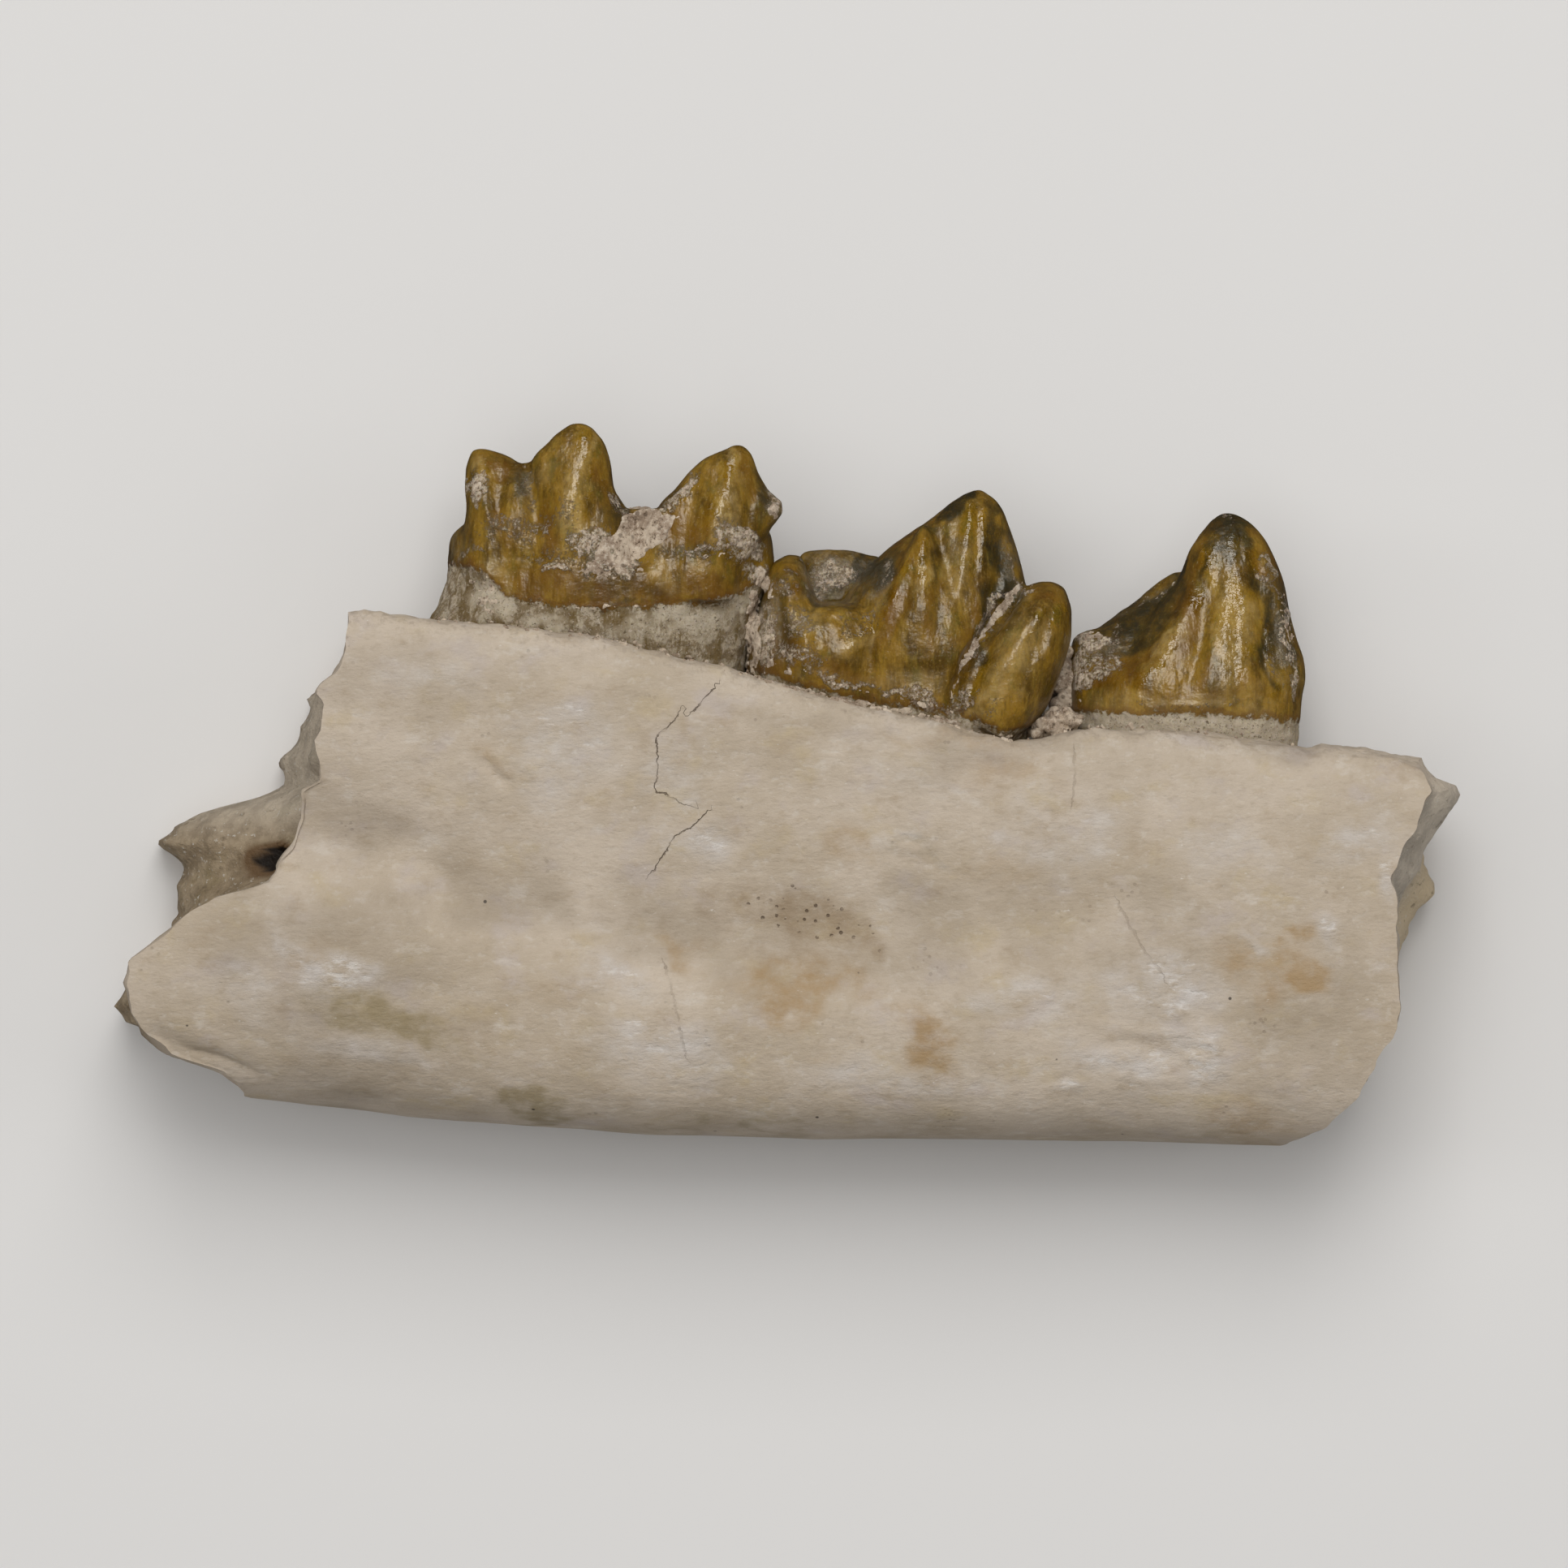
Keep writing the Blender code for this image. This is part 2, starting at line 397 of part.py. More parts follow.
def section_at(x):
    """Cross-section of the bone at each ring point: depth and height from -1 to 1."""
    rear = closed_curve(REAR_SECTION, BONE_RING)
    front = closed_curve(FRONT_SECTION, BONE_RING)
    share = smooth_step(FRONT_SECTION_FROM, FRONT_SECTION_FULL, x)[:, None]
    return rear * (1 - share) + front * share


def height_at(x, section):
    """Height y of each ring point where it lies at x."""
    top = edge_value(TOP_EDGE, x, 0, 1)
    bottom = edge_value(BOTTOM_EDGE, x, 0, 1)
    return (top + bottom) / 2 + section[:, 1] * (top - bottom) / 2


def rear_break(y, depth):
    """Where the broken rear face lies: near plate, hollow behind it, far plate standing out."""
    near = edge_value(REAR_EDGE_NEAR, y, 1, 0)
    far = edge_value(REAR_EDGE_FAR, y, 1, 0)
    hollow = np.maximum(near, far) + edge_value(REAR_HOLLOW, y, 0, 1)
    to_hollow = smooth_step(0.84, 0.6, depth)
    to_far = smooth_step(0.35, -0.55, depth)
    return near * (1 - to_hollow) + (hollow * (1 - to_far) + far * to_far) * to_hollow


def front_break(y, depth):
    """Where the broken front face lies: it slopes back from the near plate to the far one."""
    near = edge_value(FRONT_EDGE_NEAR, y, 1, 0)
    middle = edge_value(FRONT_EDGE_MIDDLE, y, 1, 0)
    far = edge_value(FRONT_EDGE_FAR, y, 1, 0)
    to_middle = smooth_step(0.78, 0.25, depth)
    to_far = smooth_step(-0.1, -0.5, depth)
    return near * (1 - to_middle) + (middle * (1 - to_far) + far * to_far) * to_middle


def rim(break_face, start):
    """Ring along a broken rim, found by stepping towards the broken face."""
    x = np.full(BONE_RING, start)
    for _ in range(RIM_STEPS):
        section = section_at(x)
        x = (x + break_face(height_at(x, section), section[:, 0])) / 2
    return x


def bone_rings():
    """Rings of the bone from the rear break to the front break."""
    rear = rim(rear_break, -9.5)
    front = rim(front_break, 12.0)
    rings = []
    for share in np.linspace(0, 1, BONE_STATIONS):
        x = rear + (front - rear) * share
        section = section_at(x)
        z = MID_Z + section[:, 0] * HALF_THICKNESS
        rings.append(np.stack([x, height_at(x, section), np.maximum(z, 0)], axis=1))
    return rings


def cap_rings(rim_ring, break_face):
    """Rings that close a broken end, each lying on the broken face."""
    middle = np.array([rim_ring[:, 1].min() + rim_ring[:, 1].max(), 2 * MID_Z]) / 2
    rings = []
    for share in np.linspace(1, CAP_MIDDLE, CAP_RINGS + 1)[1:]:
        y = middle[0] + (rim_ring[:, 1] - middle[0]) * share
        z = middle[1] + (rim_ring[:, 2] - middle[1]) * share
        x = break_face(y, (z - MID_Z) / HALF_THICKNESS)
        rings.append(np.stack([x, y, z], axis=1))
    return rings


def bone_blank():
    """The bone with its broken ends and surface relief, before the tooth sockets."""
    rings = bone_rings()
    rear_cap = cap_rings(rings[0], rear_break)
    front_cap = cap_rings(rings[-1], front_break)
    bm = bmesh.new()
    mesh_of_rings(bm, rear_cap[::-1] + rings + front_cap)
    bmesh.ops.recalc_face_normals(bm, faces=bm.faces)
    mesh = bpy.data.meshes.new("jaw_bone")
    bm.to_mesh(mesh)
    bm.free()
    obj = new_object("jaw_bone", mesh)
    work_surface(obj, BONE_STROKES)
    return obj


def cut_with(obj, cutter):
    """Take the cutter's shape out of the object."""
    cut = obj.modifiers.new("Cut", "BOOLEAN")
    cut.operation = "DIFFERENCE"
    cut.solver = "EXACT"
    cut.object = cutter
    result = baked(obj)
    bpy.data.objects.remove(cutter, do_unlink=True)
    return result


def hole_cutter(place, radius):
    """Ball stretched along Z that sinks a hole into the broken face."""
    bm = bmesh.new()
    bmesh.ops.create_icosphere(bm, subdivisions=2, radius=radius)
    mesh = bpy.data.meshes.new("hole")
    bm.to_mesh(mesh)
    bm.free()
    mesh.transform(Matrix.Translation(Vector(place)) @ Matrix.Diagonal((1.0, 1.0, HOLE_STRETCH, 1.0)))
    return new_object("hole", mesh)


def thin_out(obj, triangles):
    """Reduce the mesh to about this many triangles."""
    obj.data.calc_loop_triangles()
    now = len(obj.data.loop_triangles)
    reduce = obj.modifiers.new("Reduce", "DECIMATE")
    reduce.ratio = min(1.0, triangles / now)
    return baked(obj)


def flatten_rest(obj):
    """Lay the points that are almost on the resting plane exactly on it."""
    points, _ = points_and_normals(obj.data)
    points[:, 2] = np.where(points[:, 2] < REST_LAYER, 0.0, points[:, 2])
    obj.data.vertices.foreach_set("co", points.astype(np.float32).ravel())
    obj.data.update()


def material(name, colour, roughness):
    """Plain Principled material."""
    made = bpy.data.materials.new(name)
    made.use_nodes = True
    shader = made.node_tree.nodes["Principled BSDF"]
    shader.inputs["Base Color"].default_value = (*colour, 1.0)
    shader.inputs["Roughness"].default_value = roughness
    shader.inputs["Metallic"].default_value = 0.0
    return made


def finish(obj, name, surface, origin, parent):
    """Name, colour and place a finished solid, with its own origin, in metres."""
    obj.name = name
    obj.data.name = name
    obj.data.transform(Matrix.Translation(-Vector(origin)))
    obj.data.transform(Matrix.Scale(MM, 4))
    obj.location = Vector(origin) * MM
    obj.parent = parent
    obj.data.materials.clear()
    obj.data.materials.append(surface)
    obj.data.shade_smooth()
    obj.data.set_sharp_from_angle(angle=SHARP_ANGLE)


def build_tooth(name, cusps, crescents, roots, strokes, triangles):
    """A tooth with its roots, and the cutter for its socket."""
    tooth = tooth_block(name, cusps, crescents, roots, TOOTH_VOXEL, 0.0)
    work_surface(tooth, strokes)
    cutter = tooth_block(name + "_socket", cusps, crescents, roots, CUTTER_VOXEL, SEAT_GAP)
    return thin_out(tooth, triangles), cutter


def build_jaw():
    """The bone, its three teeth and the empty that holds them."""
    fossil = new_object("fossil_jaw", None)
    enamel = material("amber enamel", (0.23, 0.13, 0.03), 0.25)
    bone = material("fossil bone", (0.53, 0.42, 0.32), 0.75)
    teeth = [
        ("molar", MOLAR_CUSPS, MOLAR_CRESCENTS, MOLAR_ROOTS, MOLAR_STROKES, MOLAR_TRIANGLES,
         (-4.0, 2.8, MID_Z)),
        ("rear_premolar", REAR_PREMOLAR_CUSPS, [], REAR_PREMOLAR_ROOTS, REAR_PREMOLAR_STROKES,
         REAR_PREMOLAR_TRIANGLES, (2.6, 1.2, MID_Z)),
        ("front_premolar", FRONT_PREMOLAR_CUSPS, [], FRONT_PREMOLAR_ROOTS, FRONT_PREMOLAR_STROKES,
         FRONT_PREMOLAR_TRIANGLES, (8.2, 0.9, MID_Z)),
    ]
    jaw = bone_blank()
    for name, cusps, crescents, roots, strokes, triangles, origin in teeth:
        tooth, cutter = build_tooth(name, cusps, crescents, roots, strokes, triangles)
        finish(tooth, name, enamel, origin, fossil)
        jaw = cut_with(jaw, cutter)
    for place, radius in REAR_HOLES:
        jaw = cut_with(jaw, hole_cutter(place, radius))
    jaw = thin_out(fused(jaw, BONE_VOXEL, 1), BONE_TRIANGLES)
    flatten_rest(jaw)
    finish(jaw, "jaw_bone", bone, (0.0, 0.0, 0.0), fossil)


clear_scene()
build_jaw()
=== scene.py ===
"""Look of the fossil jaw piece: fine bone and teeth, matrix in the clefts, materials, light and camera.

The shapes follow the same borders, cusps and breaks as the solids, at a finer grain. The working unit is
the millimetre, and the finished pieces are turned into metres.
"""

import math
from functools import reduce

import bmesh
import bpy
import numpy as np
from mathutils import Matrix, Vector
from mathutils.bvhtree import BVHTree


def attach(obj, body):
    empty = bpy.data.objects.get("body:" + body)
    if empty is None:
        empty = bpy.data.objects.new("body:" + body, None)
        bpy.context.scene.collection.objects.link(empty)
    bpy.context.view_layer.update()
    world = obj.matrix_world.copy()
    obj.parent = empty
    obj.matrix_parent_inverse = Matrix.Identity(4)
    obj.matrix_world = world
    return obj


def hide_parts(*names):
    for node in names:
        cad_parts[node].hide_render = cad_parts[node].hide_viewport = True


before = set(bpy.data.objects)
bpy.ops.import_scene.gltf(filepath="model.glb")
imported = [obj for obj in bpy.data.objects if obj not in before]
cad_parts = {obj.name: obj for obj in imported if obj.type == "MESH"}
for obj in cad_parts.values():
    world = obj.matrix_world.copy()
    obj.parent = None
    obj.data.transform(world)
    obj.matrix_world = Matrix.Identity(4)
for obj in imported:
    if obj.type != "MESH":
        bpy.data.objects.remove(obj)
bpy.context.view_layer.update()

# Sizes, in millimetres, and the fineness and softness of the shapes
MM = 0.001
MID_Z = 2.8
HALF_THICKNESS = 2.9
TOOTH_VOXEL = 0.05
TOOTH_SOFTENING = 8
CRUMB_VOXEL = 0.038
CRUMB_SOFTENING = 2
BONE_STATIONS = 220
BONE_RING = 340
RIM_STEPS = 12
REAR_RIM_GUESS = -9.5
FRONT_RIM_GUESS = 12.0
CAP_RINGS = 24
CAP_INNERMOST = 0.03
CAP_SHARES = np.linspace(1, CAP_INNERMOST, CAP_RINGS + 1)[1:]
STROKE_FADE = 0.25
CUSP_LEVELS = 60
CUSP_SEGMENTS = 72
CUSP_POWER = 2.3
CRESCENT_STATIONS = 40
CRESCENT_BASE_Y = 3.6
CRESCENT_HALF_TOP = 0.12
CRESCENT_HALF_BASE = 0.5
CRESCENT_SHOULDER = 0.15
CREST_REACH = 0.3
CRUST_HEIGHT = 0.02
ROOT_DEPTH = 0.03
GRAIN_SUNK = 0.55
DROP_FROM_Z = 9.0
LOWEST_LANDING_Z = 1.5
SHARP_FROM = math.radians(42)

# Camera: frame width in millimetres at mid-depth, lens and sensor width, and the point at the frame's middle
FRAME_WIDTH = 31.70
LENS = 300.0
SENSOR = 36.0
IMAGE_CENTRE = (-0.0246, 0.0164)

# Studio, in metres and watts: name, place, size, power, what it is for, and colour
FLOOR_HALF = 1.5
FLOOR_Z = -0.00002
FLOOR_COLOUR = (0.70, 0.69, 0.68, 1.0)
WORLD_COLOUR = (1.0, 0.99, 0.98, 1.0)
WORLD_STRENGTH = 0.25
WORLD_REFLECTION = 0.04
LIGHTS = [
    ("strip", (0.0, 0.165, 0.22), (0.12, 0.16), 0.4, "shine", (1.0, 0.96, 0.88)),
    ("key", (0.01, 0.15, 0.24), (0.15, 0.2), 0.4, "matt", (1.0, 0.99, 0.975)),
    ("overhead", (-0.05, 0.03, 0.3), (0.3, 0.3), 0.34, "matt", (1.0, 1.0, 0.99)),
    ("side", (-0.22, 0.02, 0.14), (0.05, 0.12), 0.05, "matt", (1.0, 1.0, 1.0)),
    ("fill", (0.2, 0.01, 0.13), (0.1, 0.12), 0.05, "matt", (1.0, 1.0, 1.0)),
]

# Relief of each surface as layers of soft random values: (height, size, seed)
BONE_RELIEF = [(0.05, 2.6, 1), (0.025, (1.6, 0.7, 0.7), 2), (0.007, (0.6, 0.2, 0.2), 3)]
BREAK_RELIEF = [(0.12, 0.75, 4), (0.06, 0.32, 5), (0.03, 0.17, 6)]
CREST_RELIEF = [(0.05, 0.3, 7), (0.03, 0.16, 8)]
RIM_RELIEF = [(0.07, 0.55, 17), (0.05, 0.28, 18)]
ENAMEL_RELIEF = [(0.012, (0.16, 1.1, 0.3), 11), (0.02, (0.5, 1.6, 0.7), 12)]
CRUST_RELIEF = [(0.025, 0.2, 13), (0.02, 0.11, 14)]
MATRIX_RELIEF = [(0.022, 0.14, 15), (0.016, 0.08, 16)]

# Chips of the broken edges, the same, with the seed counted from the edge's own
EDGE_CHIPS = [(0.1, 0.45, 0), (0.06, 0.2, 7)]

# How far the outlines of each kind of soft mark are moved about
BONE_UNEVEN = {"painted_shade": 0.8, "tan": 0.5, "olive": 0.5, "brown": 0.5, "scuff_and_sheen": 0.5}
CRUST_UNEVEN = 0.24
TOOTH_UNEVEN = {"dark": 0.24, "pale": 0.24, "amber": 0.24, "haze": 0.24, "gloss": 0.12}

# Borders of the bone from rear to front, each point (x, y)
TOP_EDGE = [
    (-14.2, 3.5), (-8.7, 3.45), (-8.1, 3.43), (-7.3, 3.31), (-6.0, 3.23), (-4.4, 3.02), (-3.4, 2.86),
    (-2.2, 2.56), (-1.4, 2.38), (-0.5, 2.12), (0.3, 1.89), (1.5, 1.59), (3.0, 1.31), (3.8, 1.05),
    (4.5, 0.9), (5.2, 0.97), (5.9, 1.15), (7.5, 1.1), (8.5, 1.05), (10.0, 0.85), (10.5, 0.75),
    (10.75, 0.85), (11.2, 0.8), (12.0, 0.69), (12.7, 0.56), (13.1, 0.31), (14.2, 0.2),
]
BOTTOM_EDGE = [
    (-14.2, -5.96), (-10.8, -6.33), (-9.3, -6.48), (-7.7, -6.66), (-6.0, -6.79), (-4.4, -6.92),
    (-2.8, -7.04), (0.5, -7.14), (3.8, -7.14), (7.1, -7.22), (10.0, -7.29), (14.2, -7.33),
]

# Broken edges of the two bone plates, each point (x, y) from top to bottom
REAR_EDGE_NEAR = [
    (-8.75, 3.5), (-8.79, 2.77), (-9.0, 2.2), (-9.34, 1.85), (-9.28, 1.21), (-9.49, 0.92), (-9.3, 0.3),
    (-9.28, 0.07), (-9.64, -0.08), (-9.64, -0.64), (-9.92, -1.21), (-10.2, -1.64), (-10.31, -1.95),
    (-10.66, -2.07), (-11.35, -2.22), (-12.17, -2.71), (-13.09, -3.49), (-13.23, -3.99), (-13.02, -4.64),
    (-12.84, -5.02), (-12.41, -5.38), (-11.77, -5.6), (-11.12, -5.76), (-10.46, -6.04), (-10.2, -6.4),
]
REAR_EDGE_FAR = [
    (-8.72, 3.5), (-8.82, 2.77), (-9.07, 2.56), (-9.56, 1.85), (-9.77, 1.21), (-10.16, 0.56),
    (-10.2, -0.08), (-10.77, -0.3), (-11.84, -0.57), (-12.41, -0.85), (-12.69, -1.15), (-12.35, -1.58),
    (-12.2, -2.35), (-12.2, -2.67), (-12.95, -3.49), (-13.2, -4.05), (-13.56, -4.5), (-13.34, -4.84),
    (-12.84, -5.02), (-12.41, -5.38), (-11.77, -5.65), (-11.13, -6.05), (-10.77, -6.4),
]
FRONT_EDGE_NEAR = [
    (12.71, 0.61), (12.81, 0.33), (12.95, -0.16), (12.71, -0.67), (12.38, -1.13), (12.25, -1.59),
    (12.17, -2.23), (12.25, -3.02), (12.23, -3.92), (12.3, -4.35), (12.23, -4.89), (12.05, -5.35),
    (11.66, -5.99), (11.34, -6.35), (10.82, -6.81), (10.25, -7.24), (9.97, -7.35),
]
FRONT_EDGE_MIDDLE = [
    (12.71, 0.61), (12.84, 0.36), (13.18, 0.07), (13.48, 0.06), (13.54, -0.13), (13.41, -0.54),
    (12.95, -1.26), (12.68, -1.77), (12.31, -2.35), (12.2, -3.92), (12.25, -4.48), (12.02, -5.3),
    (11.28, -6.37), (10.46, -7.01), (9.97, -7.35),
]
FRONT_EDGE_FAR = [
    (12.59, 0.61), (12.81, 0.28), (13.04, -0.13), (12.87, -1.12), (12.95, -1.53), (13.17, -2.0),
    (13.15, -2.23), (12.81, -2.56), (12.28, -3.59), (12.05, -4.64), (11.86, -5.3), (11.17, -6.28),
    (10.3, -7.04), (9.8, -7.35),
]

# How deep the break is hollowed behind the near plate, as (y, depth)
REAR_HOLLOW = [
    (-6.4, -0.6), (-5.8, -0.25), (-5.0, 0.0), (-3.2, 0.1), (-2.2, 0.25), (-0.8, 0.45), (0.8, 0.35),
    (2.2, 0.2), (3.5, 0.05),
]

# Cross-sections of the bone, each point (depth from -1 far to 1 near, height from -1 to 1),
# and where along x the front one takes over
REAR_SECTION = [
    (0.86, 1.0), (0.98, 0.86), (0.96, 0.5), (0.92, 0.12), (1.0, -0.28), (0.94, -0.64), (0.68, -0.9),
    (0.12, -1.0), (-0.42, -0.93), (-0.82, -0.68), (-1.03, -0.25), (-1.03, 0.3), (-0.96, 0.75),
    (-0.78, 0.95), (-0.3, 0.94), (0.35, 0.95),
]
FRONT_SECTION = [
    (0.66, 0.99), (0.86, 0.88), (0.93, 0.5), (0.93, 0.1), (0.93, -0.3), (0.88, -0.67), (0.6, -0.92),
    (0.08, -1.0), (-0.42, -0.95), (-0.8, -0.7), (-1.02, -0.28), (-1.03, 0.2), (-0.9, 0.7), (-0.66, 0.93),
    (-0.3, 0.97), (0.25, 0.98),
]
FRONT_SECTION_FROM = 3.0
FRONT_SECTION_FULL = 10.5

# Cusps of the teeth: rows are (y, x rear, x front), depths are (y, z far, z near)
MOLAR_CUSPS = [
    ([(6.83, -1.06, -0.88), (6.74, -1.29, -0.76), (6.6, -1.63, -0.66), (6.27, -1.99, -0.55),
      (6.02, -2.16, -0.4), (5.69, -2.5, -0.25), (5.2, -2.75, -0.3), (4.9, -2.8, -0.5),
      (4.4, -2.91, -0.75), (3.7, -2.99, -0.85)],
     [(6.83, 3.5, 3.8), (6.6, 3.3, 3.97), (6.0, 2.9, 4.18), (5.2, 2.5, 4.4), (3.7, 2.2, 4.5)]),
    ([(7.29, -4.29, -4.06), (7.2, -4.44, -3.91), (7.1, -4.59, -3.8), (6.88, -4.8, -3.63),
      (6.65, -5.05, -3.55), (6.43, -5.16, -3.5), (6.02, -5.21, -3.45), (5.61, -5.28, -3.24),
      (5.2, -5.37, -2.99), (4.4, -5.54, -2.75), (3.7, -5.62, -2.67)],
     [(7.29, 3.5, 3.78), (7.1, 3.35, 3.96), (6.6, 3.1, 4.15), (6.0, 2.8, 4.33), (5.2, 2.5, 4.5),
      (3.7, 2.2, 4.6)]),
    ([(6.79, -6.23, -6.06), (6.73, -6.33, -5.83), (6.6, -6.39, -5.51), (6.35, -6.46, -5.21),
      (6.02, -6.47, -5.13), (5.61, -6.44, -5.05), (5.0, -6.52, -4.88), (4.4, -6.6, -4.75),
      (3.6, -6.5, -4.7)],
     [(6.79, 3.0, 3.3), (6.5, 2.7, 3.6), (6.0, 2.4, 3.9), (5.0, 2.1, 4.25), (4.4, 1.9, 4.3),
      (3.6, 1.9, 4.05)]),
    ([(5.55, -5.9, -0.6), (5.28, -6.49, -0.42), (4.96, -6.77, -0.28), (4.38, -6.83, -0.24),
      (3.72, -7.0, -0.46), (3.31, -7.23, -0.6), (2.74, -7.26, -0.72), (1.92, -7.1, -0.85),
      (1.1, -6.85, -1.0)],
     [(5.5, 1.7, 4.15), (5.0, 1.15, 4.35), (4.4, 0.95, 4.5), (3.3, 0.85, 4.6), (2.7, 0.9, 4.55),
      (1.9, 1.1, 4.35), (1.1, 1.3, 4.1)]),
    ([(6.5, -5.45, -5.1), (6.35, -5.65, -4.9), (6.0, -5.9, -4.7), (5.4, -6.1, -4.5), (4.6, -6.2, -4.3),
      (3.8, -6.1, -4.3)],
     [(6.5, 3.1, 3.6), (6.0, 2.6, 4.0), (5.4, 2.4, 4.25), (4.6, 2.2, 4.36), (3.8, 2.2, 4.1)]),
    ([(5.85, -0.55, -0.25), (5.7, -0.7, -0.08), (5.5, -0.75, -0.04), (5.35, -0.7, -0.15),
      (5.2, -0.65, -0.3)],
     [(5.85, 3.4, 3.7), (5.5, 3.2, 3.95), (5.2, 3.2, 3.9)]),
]
REAR_PREMOLAR_CUSPS = [
    ([(5.96, 3.81, 3.96), (5.89, 3.65, 4.08), (5.76, 3.42, 4.24), (5.53, 3.16, 4.41), (5.28, 2.8, 4.5),
      (5.0, 2.37, 4.6), (4.63, 1.93, 4.72), (4.22, 1.52, 4.83), (3.72, 1.19, 4.93), (3.07, 0.94, 5.0),
      (2.25, 0.86, 5.05), (1.43, 1.03, 5.0), (0.61, 1.27, 4.88)],
     [(5.96, 2.6, 2.95), (5.7, 2.4, 3.22), (5.3, 2.1, 3.43), (4.6, 1.75, 3.7), (4.0, 1.55, 3.92),
      (3.5, 1.4, 4.09), (3.0, 1.3, 4.21), (2.2, 1.3, 4.32), (1.4, 1.45, 4.32), (0.6, 1.6, 4.2)]),
    ([(5.25, 2.7, 2.86), (5.0, 2.58, 2.98), (4.5, 2.33, 3.22), (3.9, 2.03, 3.5), (3.2, 1.7, 3.85),
      (2.6, 1.5, 4.1), (2.0, 1.5, 4.2)],
     [(5.25, 3.2, 3.55), (5.0, 3.0, 3.8), (4.5, 2.9, 4.0), (3.9, 2.8, 4.2), (3.2, 2.8, 4.36),
      (2.6, 2.8, 4.38), (2.0, 2.8, 4.2)]),
    ([(3.7, 0.3, 1.5), (3.6, -0.1, 2.0), (3.4, -0.55, 2.17), (2.74, -0.74, 2.17), (2.08, -0.78, 2.17),
      (1.1, -0.6, 2.17)],
     [(3.7, 2.2, 3.3), (3.6, 1.9, 3.8), (3.4, 1.7, 4.08), (3.1, 1.5, 4.28), (2.7, 1.4, 4.38),
      (2.1, 1.4, 4.35), (1.1, 1.6, 4.1)]),
    ([(4.64, 0.0, 0.3), (4.51, -0.19, 0.37), (4.22, -0.38, 0.47), (3.81, -0.45, 0.62), (3.4, -0.55, 0.8),
      (2.9, -0.6, 0.8)],
     [(4.64, 2.5, 3.1), (4.4, 2.2, 3.5), (3.8, 1.8, 3.95), (3.4, 1.6, 4.12), (2.9, 1.6, 4.1)]),
    ([(4.76, 0.53, 1.19), (4.71, 0.37, 1.55), (4.55, 0.27, 2.01), (4.05, 0.27, 2.34), (3.4, 0.21, 2.5)],
     [(4.76, 1.75, 2.05), (4.55, 1.6, 2.3), (4.05, 1.4, 2.5), (3.4, 1.3, 2.7)]),
    ([(4.09, 5.13, 5.42), (3.99, 4.83, 5.62), (3.81, 4.64, 5.7), (3.48, 4.41, 5.78), (3.07, 4.08, 5.78),
      (2.66, 3.88, 5.7), (2.25, 3.68, 5.56), (1.92, 3.55, 5.43), (1.59, 3.49, 5.28), (1.26, 3.54, 5.05),
      (1.02, 3.9, 4.77), (0.85, 4.27, 4.5)],
     [(4.09, 2.9, 3.5), (3.8, 2.5, 4.0), (3.4, 2.1, 4.3), (2.9, 1.9, 4.45), (2.2, 1.8, 4.6),
      (1.6, 1.9, 4.6), (1.2, 2.2, 4.5), (0.85, 2.8, 4.3)]),
]
FRONT_PREMOLAR_CUSPS = [
    ([(5.48, 8.87, 9.07), (5.4, 8.7, 9.23), (5.23, 8.54, 9.46), (4.99, 8.34, 9.66), (4.71, 8.16, 9.84),
      (4.38, 8.05, 9.98), (3.97, 7.84, 10.12), (3.48, 7.42, 10.21), (2.99, 7.06, 10.33),
      (2.49, 6.6, 10.48), (2.17, 6.19, 10.51), (1.76, 6.0, 10.44), (1.35, 5.95, 10.41),
      (0.77, 5.98, 10.38), (0.11, 6.11, 10.21)],
     [(5.48, 2.45, 2.65), (5.3, 2.3, 2.88), (5.0, 2.1, 3.1), (4.4, 1.85, 3.36), (3.7, 1.65, 3.62),
      (3.0, 1.5, 3.88), (2.4, 1.45, 4.09), (1.9, 1.45, 4.24), (1.5, 1.45, 4.24), (0.8, 1.6, 4.1),
      (0.1, 1.8, 3.9)]),
    ([(4.3, 7.87, 8.25), (4.13, 7.59, 8.41), (3.81, 7.18, 8.57), (3.48, 6.77, 8.74), (3.2, 6.38, 8.74),
      (3.04, 5.92, 8.74), (2.74, 5.78, 8.74), (2.08, 5.74, 8.74), (1.1, 5.8, 8.74)],
     [(4.3, 1.8, 2.3), (3.8, 1.6, 2.6), (3.2, 1.5, 3.0), (2.74, 1.5, 3.3), (2.0, 1.5, 3.75),
      (1.1, 1.6, 3.8)]),
]

# Crescent crests of the molar's cheek side: path points (x, z, y of the crest)
MOLAR_CRESCENTS = [
    [(-0.95, 3.0, 4.9), (-1.1, 2.0, 5.4), (-1.75, 1.2, 5.95), (-2.5, 1.8, 5.5), (-2.95, 2.9, 5.1)],
    [(-3.35, 2.8, 5.1), (-3.75, 1.8, 5.5), (-4.55, 1.15, 6.05), (-5.5, 1.7, 5.65), (-6.1, 2.6, 5.4)],
]

